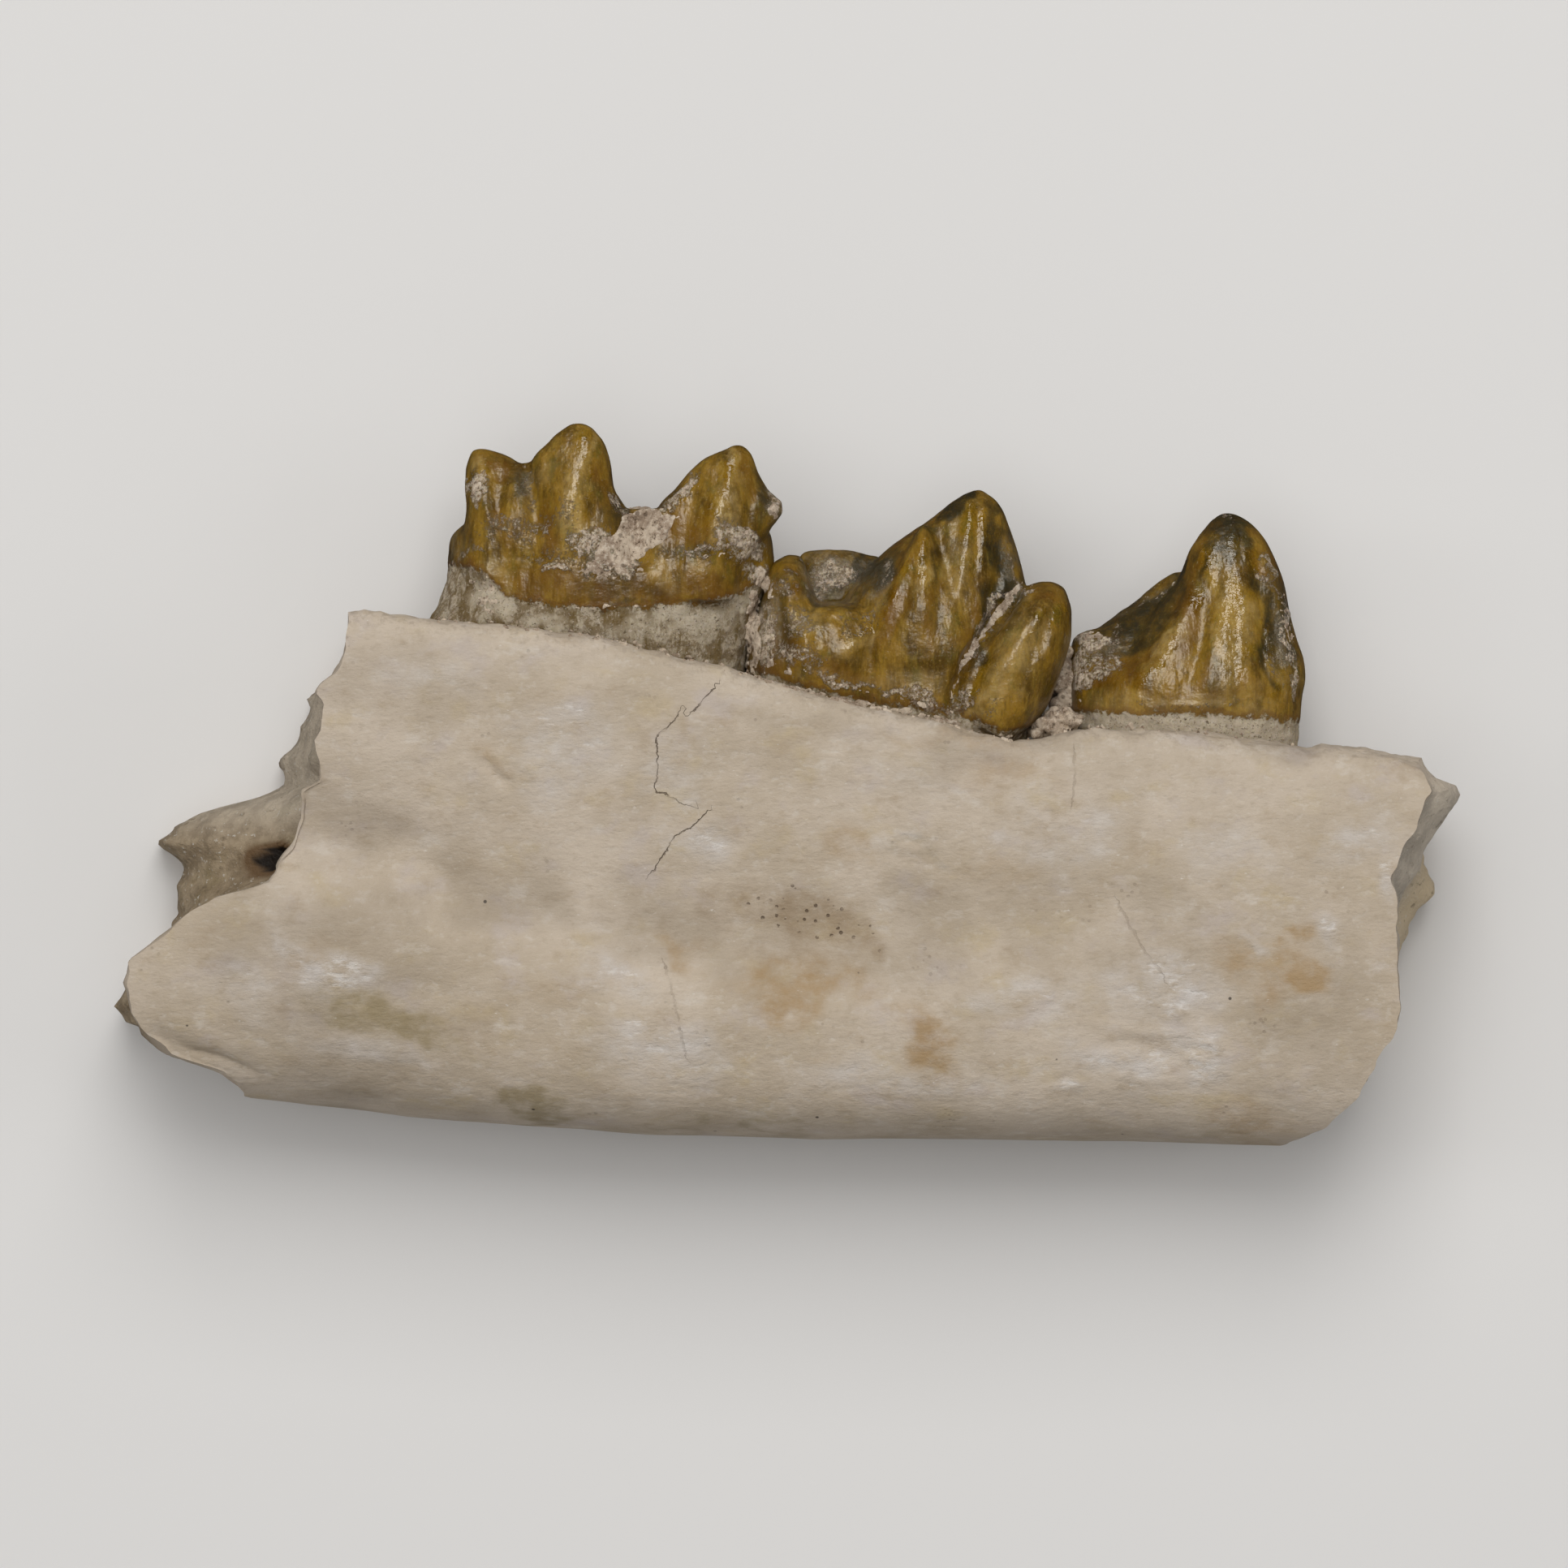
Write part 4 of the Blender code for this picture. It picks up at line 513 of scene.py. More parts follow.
FRONT_PREMOLAR_MARKS = {
    "crust": [
        (10.12, 3.0, 1.15, 0.16, -80, 0.8), (7.5, 3.95, 0.7, 0.12, 38, 0.6),
        (6.2, 2.95, 0.5, 0.22, 0, 1.0), (6.05, 2.4, 0.3, 0.6, 0, 0.85), (6.6, 3.05, 0.4, 0.2, 20, 0.6),
        (10.25, 2.2, 0.15, 0.5, 0, 0.75), (6.4, 2.5, 0.5, 0.4, 0, 0.7), (9.75, 4.2, 0.5, 0.1, -70, 0.7),
        (8.9, 5.35, 0.2, 0.08, 30, 0.5), (8.0, 1.65, 2.2, 0.1, 0, 0.5), (9.9, 2.6, 0.2, 0.9, 0, 0.55),
    ],
    "dark": [
        (7.3, 3.5, 1.1, 0.42, 40, 1.0), (8.15, 4.5, 0.12, 0.3, -10, 1.0), (7.0, 2.95, 0.6, 0.25, 35, 0.8),
        (8.98, 5.25, 0.5, 0.4, 0, 1.0), (9.0, 4.75, 0.34, 0.3, 0, 0.8), (9.68, 3.6, 0.14, 0.9, 6, 0.85),
        (7.95, 4.1, 0.25, 0.45, 20, 0.9), (10.0, 3.2, 0.3, 1.1, 6, 0.8), (8.6, 4.4, 0.1, 0.5, 0, 0.6),
        (9.7, 2.4, 0.1, 0.6, 0, 0.75), (6.5, 3.3, 0.4, 0.15, 20, 0.7),
    ],
    # Pale zones: lighter enamel and cementum, with a painted highlight glow on the lit column and ridges
    "pale": [
        (9.02, 3.0, 1.3, 0.4, 90, 1.0), (7.6, 2.8, 0.7, 0.2, 52, 1.0), (8.0, 1.75, 1.9, 0.2, 0, 0.6),
        (9.0, 4.3, 0.4, 0.2, 90, 0.4), (8.2, 1.1, 3.2, 0.6, -3, 1.0), (9.95, 2.4, 0.08, 0.6, 0, 0.7),
    ],
    "amber": [
        (8.1, 3.6, 1.2, 0.24, 72, 1.0), (8.4, 2.3, 0.5, 0.2, 90, 0.7), (9.75, 4.7, 0.8, 0.2, -65, 0.9),
        (6.7, 2.3, 0.9, 0.3, 25, 0.9), (7.1, 2.3, 0.8, 0.16, 50, 0.8), (8.5, 5.0, 0.5, 0.2, 60, 0.8),
        (8.0, 1.9, 2.0, 0.14, 0, 0.5),
    ],
    "haze": [
        (7.2, 3.85, 0.8, 0.12, 38, 0.4), (10.12, 3.0, 0.24, 1.2, 8, 0.5), (9.05, 4.95, 0.35, 0.4, 0, 0.3),
        (6.3, 2.9, 0.5, 0.2, 0, 0.5),
    ],
    "gloss": [
        (9.02, 4.75, 0.35, 0.17, 85, 1.0), (8.6, 4.6, 0.5, 0.12, 85, 0.9),
        (9.42, 4.55, 0.35, 0.1, 100, 0.9), (9.05, 3.2, 1.35, 0.4, 90, 1.0),
        (8.35, 3.75, 0.35, 0.12, 72, 0.9), (7.6, 2.7, 0.8, 0.17, 56, 1.0), (7.2, 2.1, 0.4, 0.12, 50, 0.6),
        (9.95, 1.95, 0.35, 0.12, 80, 0.8), (10.3, 2.2, 0.35, 0.06, 76, 0.7),
        (9.7, 2.9, 0.6, 0.06, 92, 0.5), (6.35, 2.35, 0.3, 0.12, 30, 0.5),
    ],
}

# Matrix grains on the surfaces:
# (centre x, y, half length, half width, turn, grains, least and most radius, lift)
MATRIX_BEDS = [
    (-2.85, 5.15, 0.52, 0.4, 10, 420, 0.035, 0.08, 0.02),
    (-3.25, 4.75, 0.6, 0.36, 25, 330, 0.03, 0.07, 0.01),
    (-3.6, 4.35, 0.75, 0.24, -5, 190, 0.025, 0.055, 0.0),
    (-4.0, 4.8, 0.4, 0.35, 0, 110, 0.022, 0.05, 0.0), (-2.35, 5.35, 0.25, 0.25, 45, 70, 0.03, 0.06, 0.0),
    (-0.85, 4.95, 0.4, 0.24, -20, 70, 0.02, 0.045, 0.0), (-0.2, 5.5, 0.18, 0.22, 0, 50, 0.025, 0.05, 0.0),
    (-6.18, 5.88, 0.26, 0.17, 90, 60, 0.02, 0.045, 0.0),
    (-6.05, 3.85, 0.5, 0.26, -65, 90, 0.022, 0.05, 0.0),
    (-3.5, 3.58, 1.0, 0.06, 0, 100, 0.022, 0.04, 0.0), (-0.65, 3.1, 0.16, 0.85, 0, 150, 0.05, 0.1, 0.0),
    (-0.45, 4.1, 0.16, 0.4, 30, 70, 0.03, 0.07, 0.0), (4.4, 3.6, 0.64, 0.1, 52, 150, 0.022, 0.06, 0.01),
    (3.78, 2.75, 0.6, 0.1, 56, 100, 0.02, 0.05, 0.0), (3.42, 2.0, 0.4, 0.07, 72, 40, 0.02, 0.04, 0.0),
    (5.5, 1.28, 0.36, 0.16, 15, 170, 0.035, 0.075, 0.02),
    (4.86, 4.0, 0.14, 0.08, 20, 20, 0.02, 0.05, 0.0), (6.15, 3.0, 0.34, 0.1, 0, 80, 0.025, 0.05, 0.0),
    (5.95, 2.2, 0.1, 0.6, 0, 60, 0.02, 0.045, 0.0), (10.12, 3.2, 0.75, 0.1, -80, 110, 0.02, 0.04, 0.0),
    (4.7, 4.3, 0.45, 0.08, -80, 22, 0.016, 0.032, 0.0), (7.2, 3.75, 0.6, 0.08, 38, 30, 0.016, 0.03, 0.0),
    (-0.35, 2.7, 0.16, 0.5, 0, 60, 0.025, 0.05, 0.0), (-1.6, 4.6, 1.1, 0.08, 3, 70, 0.016, 0.035, 0.0),
    (-5.2, 5.1, 0.7, 0.3, 0, 60, 0.016, 0.032, 0.0), (-2.0, 5.85, 0.4, 0.14, 42, 50, 0.016, 0.035, 0.0),
    (2.2, 1.75, 1.6, 0.06, -13, 120, 0.02, 0.045, 0.0), (0.1, 2.3, 0.6, 0.14, -15, 60, 0.018, 0.04, 0.0),
]
# Matrix deep in a cleft: the same, with the height z in place of the lift
CLEFT_BEDS = [
    (5.65, 1.9, 0.18, 0.9, 0, 120, 0.1, 0.18, 2.9), (5.45, 1.2, 0.5, 0.28, 15, 200, 0.06, 0.12, 4.0),
    (-0.66, 3.2, 0.14, 1.0, 0, 120, 0.1, 0.16, 2.9), (-3.0, 5.2, 0.4, 0.3, 0, 120, 0.12, 0.2, 3.4),
]
# The crest of the bone along the teeth: (x from, x to, grains)
CREST_BEDS = [
    (-7.3, -0.9, 110), (-0.9, 0.8, 60), (0.8, 3.6, 170), (3.6, 5.9, 60), (5.9, 10.4, 50),
]


def smooth_values(knots, values, at):
    """Values at the given places, on a curve through the knots that never overshoots them."""
    order = np.argsort(knots)
    knots = np.asarray(knots, float)[order]
    values = np.asarray(values, float)[order]
    steps = np.diff(knots)
    slopes = np.diff(values) / steps
    tangents = np.zeros(len(knots))
    same_way = slopes[1:] * slopes[:-1] > 0
    inner = 2 * slopes[1:] * slopes[:-1] / np.where(same_way, slopes[1:] + slopes[:-1], 1)
    tangents[1:-1] = np.where(same_way, inner, 0)
    tangents[0] = slopes[0]
    tangents[-1] = slopes[-1]
    at = np.clip(at, knots[0], knots[-1])
    span = np.clip(np.searchsorted(knots, at) - 1, 0, len(steps) - 1)
    length = steps[span]
    t = (at - knots[span]) / length
    return (values[span] * (1 + 2 * t) * (1 - t) ** 2 + values[span + 1] * t * t * (3 - 2 * t)
            + length * tangents[span] * t * (1 - t) ** 2 + length * tangents[span + 1] * t * t * (t - 1))


def edge_value(points, at, key, value):
    """Straight-line reading of a border: coordinate `value` where coordinate `key` is `at`."""
    points = sorted(points, key=lambda point: point[key])
    return np.interp(at, [p[key] for p in points], [p[value] for p in points])


def smooth_step(low, high, value):
    """Rise from 0 to 1 between low and high."""
    t = np.clip((value - low) / (high - low), 0, 1)
    return t * t * (3 - 2 * t)


def closed_curve(points, count):
    """Evenly spaced points on a smooth closed curve through the given ones."""
    points = np.asarray(points, float)
    t = np.linspace(0, 1, 12, endpoint=False)[:, None]
    spans = []
    for index in range(len(points)):
        a, b, c, d = (points[(index + k) % len(points)] for k in (-1, 0, 1, 2))
        spans.append(0.5 * (2 * b + (c - a) * t + (2 * a - 5 * b + 4 * c - d) * t ** 2
                            + (3 * b - a - 3 * c + d) * t ** 3))
    fine = np.vstack(spans + [spans[0][:1]])
    along = np.concatenate([[0], np.cumsum(np.linalg.norm(np.diff(fine, axis=0), axis=1))])
    at = np.linspace(0, along[-1], count, endpoint=False)
    return np.stack([np.interp(at, along, fine[:, k]) for k in range(2)], axis=1)


def grain(points, size, seed):
    """Soft random values from -1 to 1 that change over about `size`, a number or one for each axis."""
    cell = points / np.asarray(size, float) + seed * 17.31
    base = np.floor(cell).astype(np.int64)
    t = cell - base
    t = t * t * (3 - 2 * t)
    total = np.zeros(len(points))
    for corner in range(8):
        step = np.array([corner & 1, corner >> 1 & 1, corner >> 2 & 1])
        at = (base + step) * np.array([73856093, 19349663, 83492791])
        mixed = (at[:, 0] ^ at[:, 1] ^ at[:, 2] ^ seed * 6364136) & 0xFFFFFFFF
        mixed = (mixed ^ mixed >> 15) * 2246822519 & 0xFFFFFFFF
        mixed = (mixed ^ mixed >> 13) * 3266489917 & 0xFFFFFFFF
        value = (mixed ^ mixed >> 16) / 0xFFFFFFFF * 2 - 1
        total += value * np.prod(np.where(step == 1, t, 1 - t), axis=1)
    return total


def relief_of(points, layers):
    """Height of the relief at each point, from its layers."""
    return sum(height * grain(points, size, seed) for height, size, seed in layers)


def new_object(name, data):
    """Object with this mesh, light or camera in the scene's collection."""
    obj = bpy.data.objects.new(name, data)
    bpy.context.scene.collection.objects.link(obj)
    return obj


def cusp_rings(rows, depths):
    """Rings of one cusp: level ovals from its tip down."""
    heights = [row[0] for row in rows]
    levels = np.linspace(max(heights), min(heights), CUSP_LEVELS)
    rear, front, far, near = (smooth_values([row[0] for row in table], [row[k] for row in table], levels)
                              for table in (rows, depths) for k in (1, 2))
    turn = np.linspace(0, 2 * math.pi, CUSP_SEGMENTS, endpoint=False)
    across, through = (np.sign(wave) * np.abs(wave) ** (2 / CUSP_POWER)
                       for wave in (np.cos(turn), np.sin(turn)))
    return [np.stack([(a + b) / 2 + (b - a) / 2 * across, np.full(CUSP_SEGMENTS, y),
                      (c + d) / 2 + (d - c) / 2 * through], axis=1)
            for y, a, b, c, d in zip(levels, rear, front, far, near)]


def crescent_rings(path):
    """Rings of a curved crest that stands along a path seen from above the tooth."""
    path = np.asarray(path, float)
    fine = np.linspace(0, len(path) - 1, CRESCENT_STATIONS)
    x, z, top = (smooth_values(np.arange(len(path)), path[:, k], fine) for k in range(3))
    along = np.stack([np.gradient(x), np.gradient(z)], axis=1)
    along /= np.linalg.norm(along, axis=1)[:, None]
    wide = CRESCENT_HALF_BASE
    slim = CRESCENT_HALF_TOP
    rings = []
    for k in range(len(fine)):
        shoulder = top[k] - CRESCENT_SHOULDER
        profile = [(-wide, CRESCENT_BASE_Y), (-slim, shoulder), (0.0, top[k]), (slim, shoulder),
                   (wide, CRESCENT_BASE_Y)]
        rings.append(np.array([(x[k] - along[k, 1] * side, y, z[k] + along[k, 0] * side)
                               for side, y in profile]))
    return rings


def fused(obj, voxel, softening):
    """Overlapping shells rebuilt as one even skin and softened, in the object's place."""
    fuse = obj.modifiers.new("Fuse", "REMESH")
    fuse.mode = "VOXEL"
    fuse.voxel_size = voxel
    soften = obj.modifiers.new("Soften", "SMOOTH")
    soften.factor = 0.5
    soften.iterations = softening
    graph = bpy.context.evaluated_depsgraph_get()
    graph.update()
    mesh = bpy.data.meshes.new_from_object(obj.evaluated_get(graph), depsgraph=graph)
    name = obj.name
    bpy.data.objects.remove(obj, do_unlink=True)
    return new_object(name, mesh)


def points_and_normals(mesh):
    """Vertex positions and normals as arrays."""
    found = []
    for source, key in ((mesh.vertices, "co"), (mesh.vertex_normals, "vector")):
        values = np.empty(len(mesh.vertices) * 3, np.float32)
        source.foreach_get(key, values)
        found.append(values.reshape(-1, 3).astype(float))
    return found


def set_points(mesh, points):
    """Move the mesh's points to these places."""
    mesh.vertices.foreach_set("co", points.astype(np.float32).ravel())
    mesh.update()


def along_path(points, path):
    """Signed distance of (x, y) points to a broken line, negative on its right, and the share along it."""
    path = np.asarray(path, float)
    lengths = np.linalg.norm(np.diff(path, axis=0), axis=1)
    nearest = np.full(len(points), np.inf)
    signed = np.zeros(len(points))
    share = np.zeros(len(points))
    for a, b, length, start in zip(path, path[1:], lengths, np.cumsum(lengths) - lengths):
        ab = b - a
        along = np.clip((points - a) @ ab / length ** 2, 0, 1)
        away = np.linalg.norm(points - a - along[:, None] * ab, axis=1)
        side = np.sign(ab[0] * (points[:, 1] - a[1]) - ab[1] * (points[:, 0] - a[0]))
        closer = away < nearest
        nearest = np.where(closer, away, nearest)
        signed = np.where(closer, away * side, signed)
        share = np.where(closer, (start + along * length) / lengths.sum(), share)
    return signed, share


def work_surface(mesh, strokes):
    """Raise ridges and sink grooves along strokes that fade out at both ends."""
    points, normals = points_and_normals(mesh)
    moved = points.copy()
    for path, side, width, height in strokes:
        away, share = along_path(points[:, :2], path)
        fade = smooth_step(0, STROKE_FADE, share) * smooth_step(1, 1 - STROKE_FADE, share)
        facing = np.clip(normals[:, 2] * side, 0, 1)
        moved += normals * (height * fade * facing * np.exp(-(away / width) ** 2))[:, None]
    set_points(mesh, moved)


def chipped_edge(edge, y, seed):
    """Where a broken edge lies at each height y, with small random steps."""
    points = np.stack([y, np.zeros(len(y)), np.zeros(len(y))], axis=1)
    layers = [(height, size, seed + more) for height, size, more in EDGE_CHIPS]
    return edge_value(edge, y, 1, 0) + relief_of(points, layers)


def section_at(x):
    """Cross-section of the bone at each ring point: depth and height from -1 to 1."""
    rear = closed_curve(REAR_SECTION, BONE_RING)
    front = closed_curve(FRONT_SECTION, BONE_RING)
    share = smooth_step(FRONT_SECTION_FROM, FRONT_SECTION_FULL, x)[:, None]
    return rear * (1 - share) + front * share


def height_at(x, section):
    """Height y of each ring point where it lies at x."""
    top = edge_value(TOP_EDGE, x, 0, 1)
    bottom = edge_value(BOTTOM_EDGE, x, 0, 1)
    return (top + bottom) / 2 + section[:, 1] * (top - bottom) / 2


def rear_break(y, depth):
    """Where the broken rear face lies: near plate, hollow behind it, far plate standing out."""
    clean = [edge_value(edge, y, 1, 0) for edge in (REAR_EDGE_NEAR, REAR_EDGE_FAR)]
    hollow = np.maximum(*clean) + edge_value(REAR_HOLLOW, y, 0, 1)
    near = chipped_edge(REAR_EDGE_NEAR, y, 31)
    far = chipped_edge(REAR_EDGE_FAR, y, 32)
    to_hollow = smooth_step(0.84, 0.6, depth)
    to_far = smooth_step(0.35, -0.55, depth)
    return near * (1 - to_hollow) + (hollow * (1 - to_far) + far * to_far) * to_hollow


def front_break(y, depth):
    """Where the broken front face lies: it slopes back from the near plate to the far one."""
    near = chipped_edge(FRONT_EDGE_NEAR, y, 33)
    middle = chipped_edge(FRONT_EDGE_MIDDLE, y, 34)
    far = edge_value(FRONT_EDGE_FAR, y, 1, 0)
    to_middle = smooth_step(0.78, 0.25, depth)
    to_far = smooth_step(-0.1, -0.5, depth)
    return near * (1 - to_middle) + (middle * (1 - to_far) + far * to_far) * to_middle


def rim(break_face, start):
    """Ring along a broken rim, found by stepping towards the broken face."""
    x = np.full(BONE_RING, start)
    for _ in range(RIM_STEPS):
        section = section_at(x)
        x = (x + break_face(height_at(x, section), section[:, 0])) / 2
    return x


def bone_rings():
    """Rings of the bone from the rear break to the front break."""
    rear = rim(rear_break, REAR_RIM_GUESS)
    front = rim(front_break, FRONT_RIM_GUESS)
    rings = []
    for share in np.linspace(0, 1, BONE_STATIONS):
        x = rear + (front - rear) * share
        section = section_at(x)
        z = MID_Z + section[:, 0] * HALF_THICKNESS
        rings.append(np.stack([x, height_at(x, section), np.maximum(z, 0)], axis=1))
    return rings


def cap_rings(rim_ring, break_face):
    """Rings that close a broken end, each lying on the broken face."""
    middle = np.array([rim_ring[:, 1].min() + rim_ring[:, 1].max(), 2 * MID_Z]) / 2
    rings = []
    for share in CAP_SHARES:
        y = middle[0] + (rim_ring[:, 1] - middle[0]) * share
        z = middle[1] + (rim_ring[:, 2] - middle[1]) * share
        x = break_face(y, (z - MID_Z) / HALF_THICKNESS)
        rings.append(np.stack([x, y, z], axis=1))
    return rings


def skin(rings):
    """Points and faces of a closed skin over rings that have the same number of points."""
    count = len(rings[0])
    points = np.vstack(rings)
    first = np.arange((len(rings) - 1) * count)
    following = np.where(first % count == count - 1, first - count + 1, first + 1)
    quads = np.stack([first, following, following + count, first + count], axis=1)
    ends = [list(range(count))[::-1], list(range(len(points) - count, len(points)))]
    return points, quads.tolist() + ends


def mesh_of(name, parts):
    """Mesh of several skins, with its faces turned outwards."""
    points = []
    faces = []
    for part_points, part_faces in parts:
        start = sum(len(p) for p in points)
        points.append(part_points)
        faces += [[start + index for index in face] for face in part_faces]
    mesh = bpy.data.meshes.new(name)
    mesh.from_pydata(np.vstack(points).tolist(), [], faces)
    bm = bmesh.new()
    bm.from_mesh(mesh)
    bmesh.ops.recalc_face_normals(bm, faces=bm.faces)
    bm.to_mesh(mesh)
    bm.free()
    return mesh


def keep_values(mesh, name, values):
    """Store one number for each point, for the materials."""
    layer = mesh.attributes.new(name, "FLOAT", "POINT")
    layer.data.foreach_set("value", np.asarray(values, np.float32))


def unsettled(points, reach):
    """Points moved about at random by up to about `reach`, which gives marks uneven outlines."""
    shift = np.zeros(points.shape)
    for axis in (0, 1):
        shift[:, axis] = relief_of(points, [(1.0, 2.4 * reach, 41 + axis), (0.6, 0.9 * reach, 43 + axis)])
    return points + reach * shift


def marks_at(points, marks):
    """Strength of soft oval marks at each point."""
    strength = np.zeros(len(points))
    for x, y, length, width, turn, most in marks:
        angle = math.radians(turn)
        along = (points[:, 0] - x) * math.cos(angle) + (points[:, 1] - y) * math.sin(angle)
        across = (points[:, 1] - y) * math.cos(angle) - (points[:, 0] - x) * math.sin(angle)
        reach = np.hypot(along / length, across / width)
        strength = np.maximum(strength, most * smooth_step(1.35, 0.35, reach))
    return strength


def keep_cracks(mesh, points, name, cracks, near):
    """Store how far each point is from the nearest crack, and how strong the crack may be there."""
    nearest = np.full(len(points), 9.0)
    for crack in cracks:
        signed = along_path(points[:, :2], crack)[0]
        nearest = np.where(np.abs(signed) < np.abs(nearest), signed, nearest)
    keep_values(mesh, name, np.clip(nearest, -1, 1))
    keep_values(mesh, name + "_reach", smooth_step(0.3, 0.12, np.abs(nearest)) * near)


def bone_piece():
    """The bone, with its broken ends, its relief and the values that its materials read."""
    rings = bone_rings()
    rear_cap = cap_rings(rings[0], rear_break)
    front_cap = cap_rings(rings[-1], front_break)
    mesh = mesh_of("bone", [skin(rear_cap[::-1] + rings + front_cap)])
    obj = new_object("bone", mesh)
    work_surface(mesh, BONE_STROKES)
    points, normals = points_and_normals(mesh)
    inward = np.repeat(1 - CAP_SHARES, BONE_RING)
    tube = points[len(inward):-len(inward), 0].reshape(-1, BONE_RING)

    def on_breaks(values, between=0.0):
        """Values for the two broken faces, given from the rim inwards, with others between the faces."""
        return np.concatenate([values[::-1], np.zeros(tube.size) + between, values])

    inside = smooth_step(0.04, 0.2, inward)
    core = on_breaks(inside)
    broken = on_breaks(np.ones(len(inward)))
    past_rims = np.maximum(smooth_step(0.7, 0.0, tube - tube[0]), smooth_step(0.7, 0.0, tube[-1] - tube))
    by_rim = on_breaks(1 - inside, past_rims.ravel())
    under_top = points[:, 1] - edge_value(TOP_EDGE, points[:, 0], 0, 1)
    crest = np.exp(-(under_top / CREST_REACH) ** 2) * (1 - broken)
    relief = relief_of(points, BONE_RELIEF) * smooth_step(0.0, 0.6, points[:, 2]) * (1 - broken)
    moved = points + normals * (relief + crest * relief_of(points, CREST_RELIEF))[:, None]
    moved[:, 0] += np.sign(points[:, 0]) * relief_of(points, BREAK_RELIEF) * core
    moved[:, 0] += relief_of(points, RIM_RELIEF) * by_rim
    # Where the holes of the rear break get a painted shadow
    hole = np.zeros(len(points))
    rear_face = (points[:, 0] < 0) * broken
    for (y, z), radius, depth in REAR_HOLES:
        reach = np.hypot(points[:, 1] - y, points[:, 2] - z) / radius
        hole = np.maximum(hole, smooth_step(1.8, 0.5, reach) * rear_face)
        moved[:, 0] += depth * smooth_step(1.1, 0.3, reach) * rear_face
    moved[:, 2] = np.maximum(moved[:, 2], 0)
    set_points(mesh, moved)
    front = smooth_step(0, 5, points[:, 0])
    upper = smooth_step(-1.3, -0.3, points[:, 1])
    lower = smooth_step(-0.9, -1.5, points[:, 1])
    rim_band = on_breaks(smooth_step(0.13, 0.03, inward))
    keep_values(mesh, "core", core)
    keep_values(mesh, "hole", hole)
    # Broken facets painted paler, most of all on the steep front break, where the lighter colour is painted
    # light
    keep_values(mesh, "facet", broken * np.clip(0.55 * upper * (1 - front) + 0.9 * front, 0, 1))
    # Pale rims of the broken faces, partly painted rim light
    keep_values(mesh, "edge", rim_band * smooth_step(3.6, 2.4, points[:, 2]))
    keep_values(mesh, "front_tan", front * lower * smooth_step(3.0, 1.8, points[:, 2]))
    keep_values(mesh, "crest", crest)
    near = smooth_step(2.2, 3.4, moved[:, 2])
    # Stains, whitish scuffs with painted sheen and zones of painted shade, each kind from its own marks
    for kind, reach in BONE_UNEVEN.items():
        uneven = unsettled(moved, reach)
        far_marks = marks_at(uneven, FAR_MARKS.get(kind, []))
        keep_values(mesh, kind, marks_at(uneven, BONE_MARKS[kind]) * near + far_marks * (1 - near))
    keep_cracks(mesh, moved, "crack", CRACKS, near)
    keep_cracks(mesh, moved, "faint", FAINT_CRACKS, near)
    return obj


def tooth_piece(name, cusps, crescents, strokes, enamel, marks):
    """A tooth crown with its relief and the values that its material reads."""
    parts = [skin(cusp_rings(rows, depths)) for rows, depths in cusps]
    parts += [skin(crescent_rings(path)) for path in crescents]
    tooth = fused(new_object(name, mesh_of(name, parts)), TOOTH_VOXEL, TOOTH_SOFTENING)
    mesh = tooth.data
    work_surface(mesh, strokes)
    points, normals = points_and_normals(mesh)
    above = points[:, 1] - edge_value(enamel, points[:, 0], 0, 1)
    crusted = marks_at(unsettled(points, CRUST_UNEVEN), marks["crust"])
    crusted *= smooth_step(-0.2, 0.3, normals[:, 2])
    rooted = smooth_step(0.05, -0.08, above)
    worn = relief_of(points, ENAMEL_RELIEF) * (1 - rooted)
    rough = relief_of(points, CRUST_RELIEF) * np.maximum(crusted, rooted)
    lift = worn + rough + CRUST_HEIGHT * crusted - ROOT_DEPTH * rooted
    set_points(mesh, points + normals * lift[:, None])
    near = smooth_step(-0.3, 0.3, normals[:, 2])
    keep_values(mesh, "above", np.clip(above, -2, 3))
    keep_values(mesh, "crust", crusted)
    for kind, reach in TOOTH_UNEVEN.items():
        keep_values(mesh, kind, marks_at(unsettled(points, reach), marks[kind]) * near)
    # Painted shade: darkening where the surface turns side-on to the camera, along the crown's outline
    keep_values(mesh, "turned", smooth_step(0.75, 0.15, np.abs(normals[:, 2])))
    return tooth


def mesh_of_balls(name, grains):
    """One mesh of small balls, each given as x, y, z and radius."""
    bm = bmesh.new()
    bmesh.ops.create_icosphere(bm, subdivisions=2, radius=1.0)
    ball = np.array([vert.co for vert in bm.verts])
    faces = np.array([[vert.index for vert in face.verts] for face in bm.faces])
    bm.free()
    points = grains[:, None, :3] + ball[None] * grains[:, None, 3:]
    turned = faces[None] + len(ball) * np.arange(len(grains))[:, None, None]
    mesh = bpy.data.meshes.new(name)
    mesh.from_pydata(points.reshape(-1, 3).tolist(), [], turned.reshape(-1, 3).tolist())
    return mesh


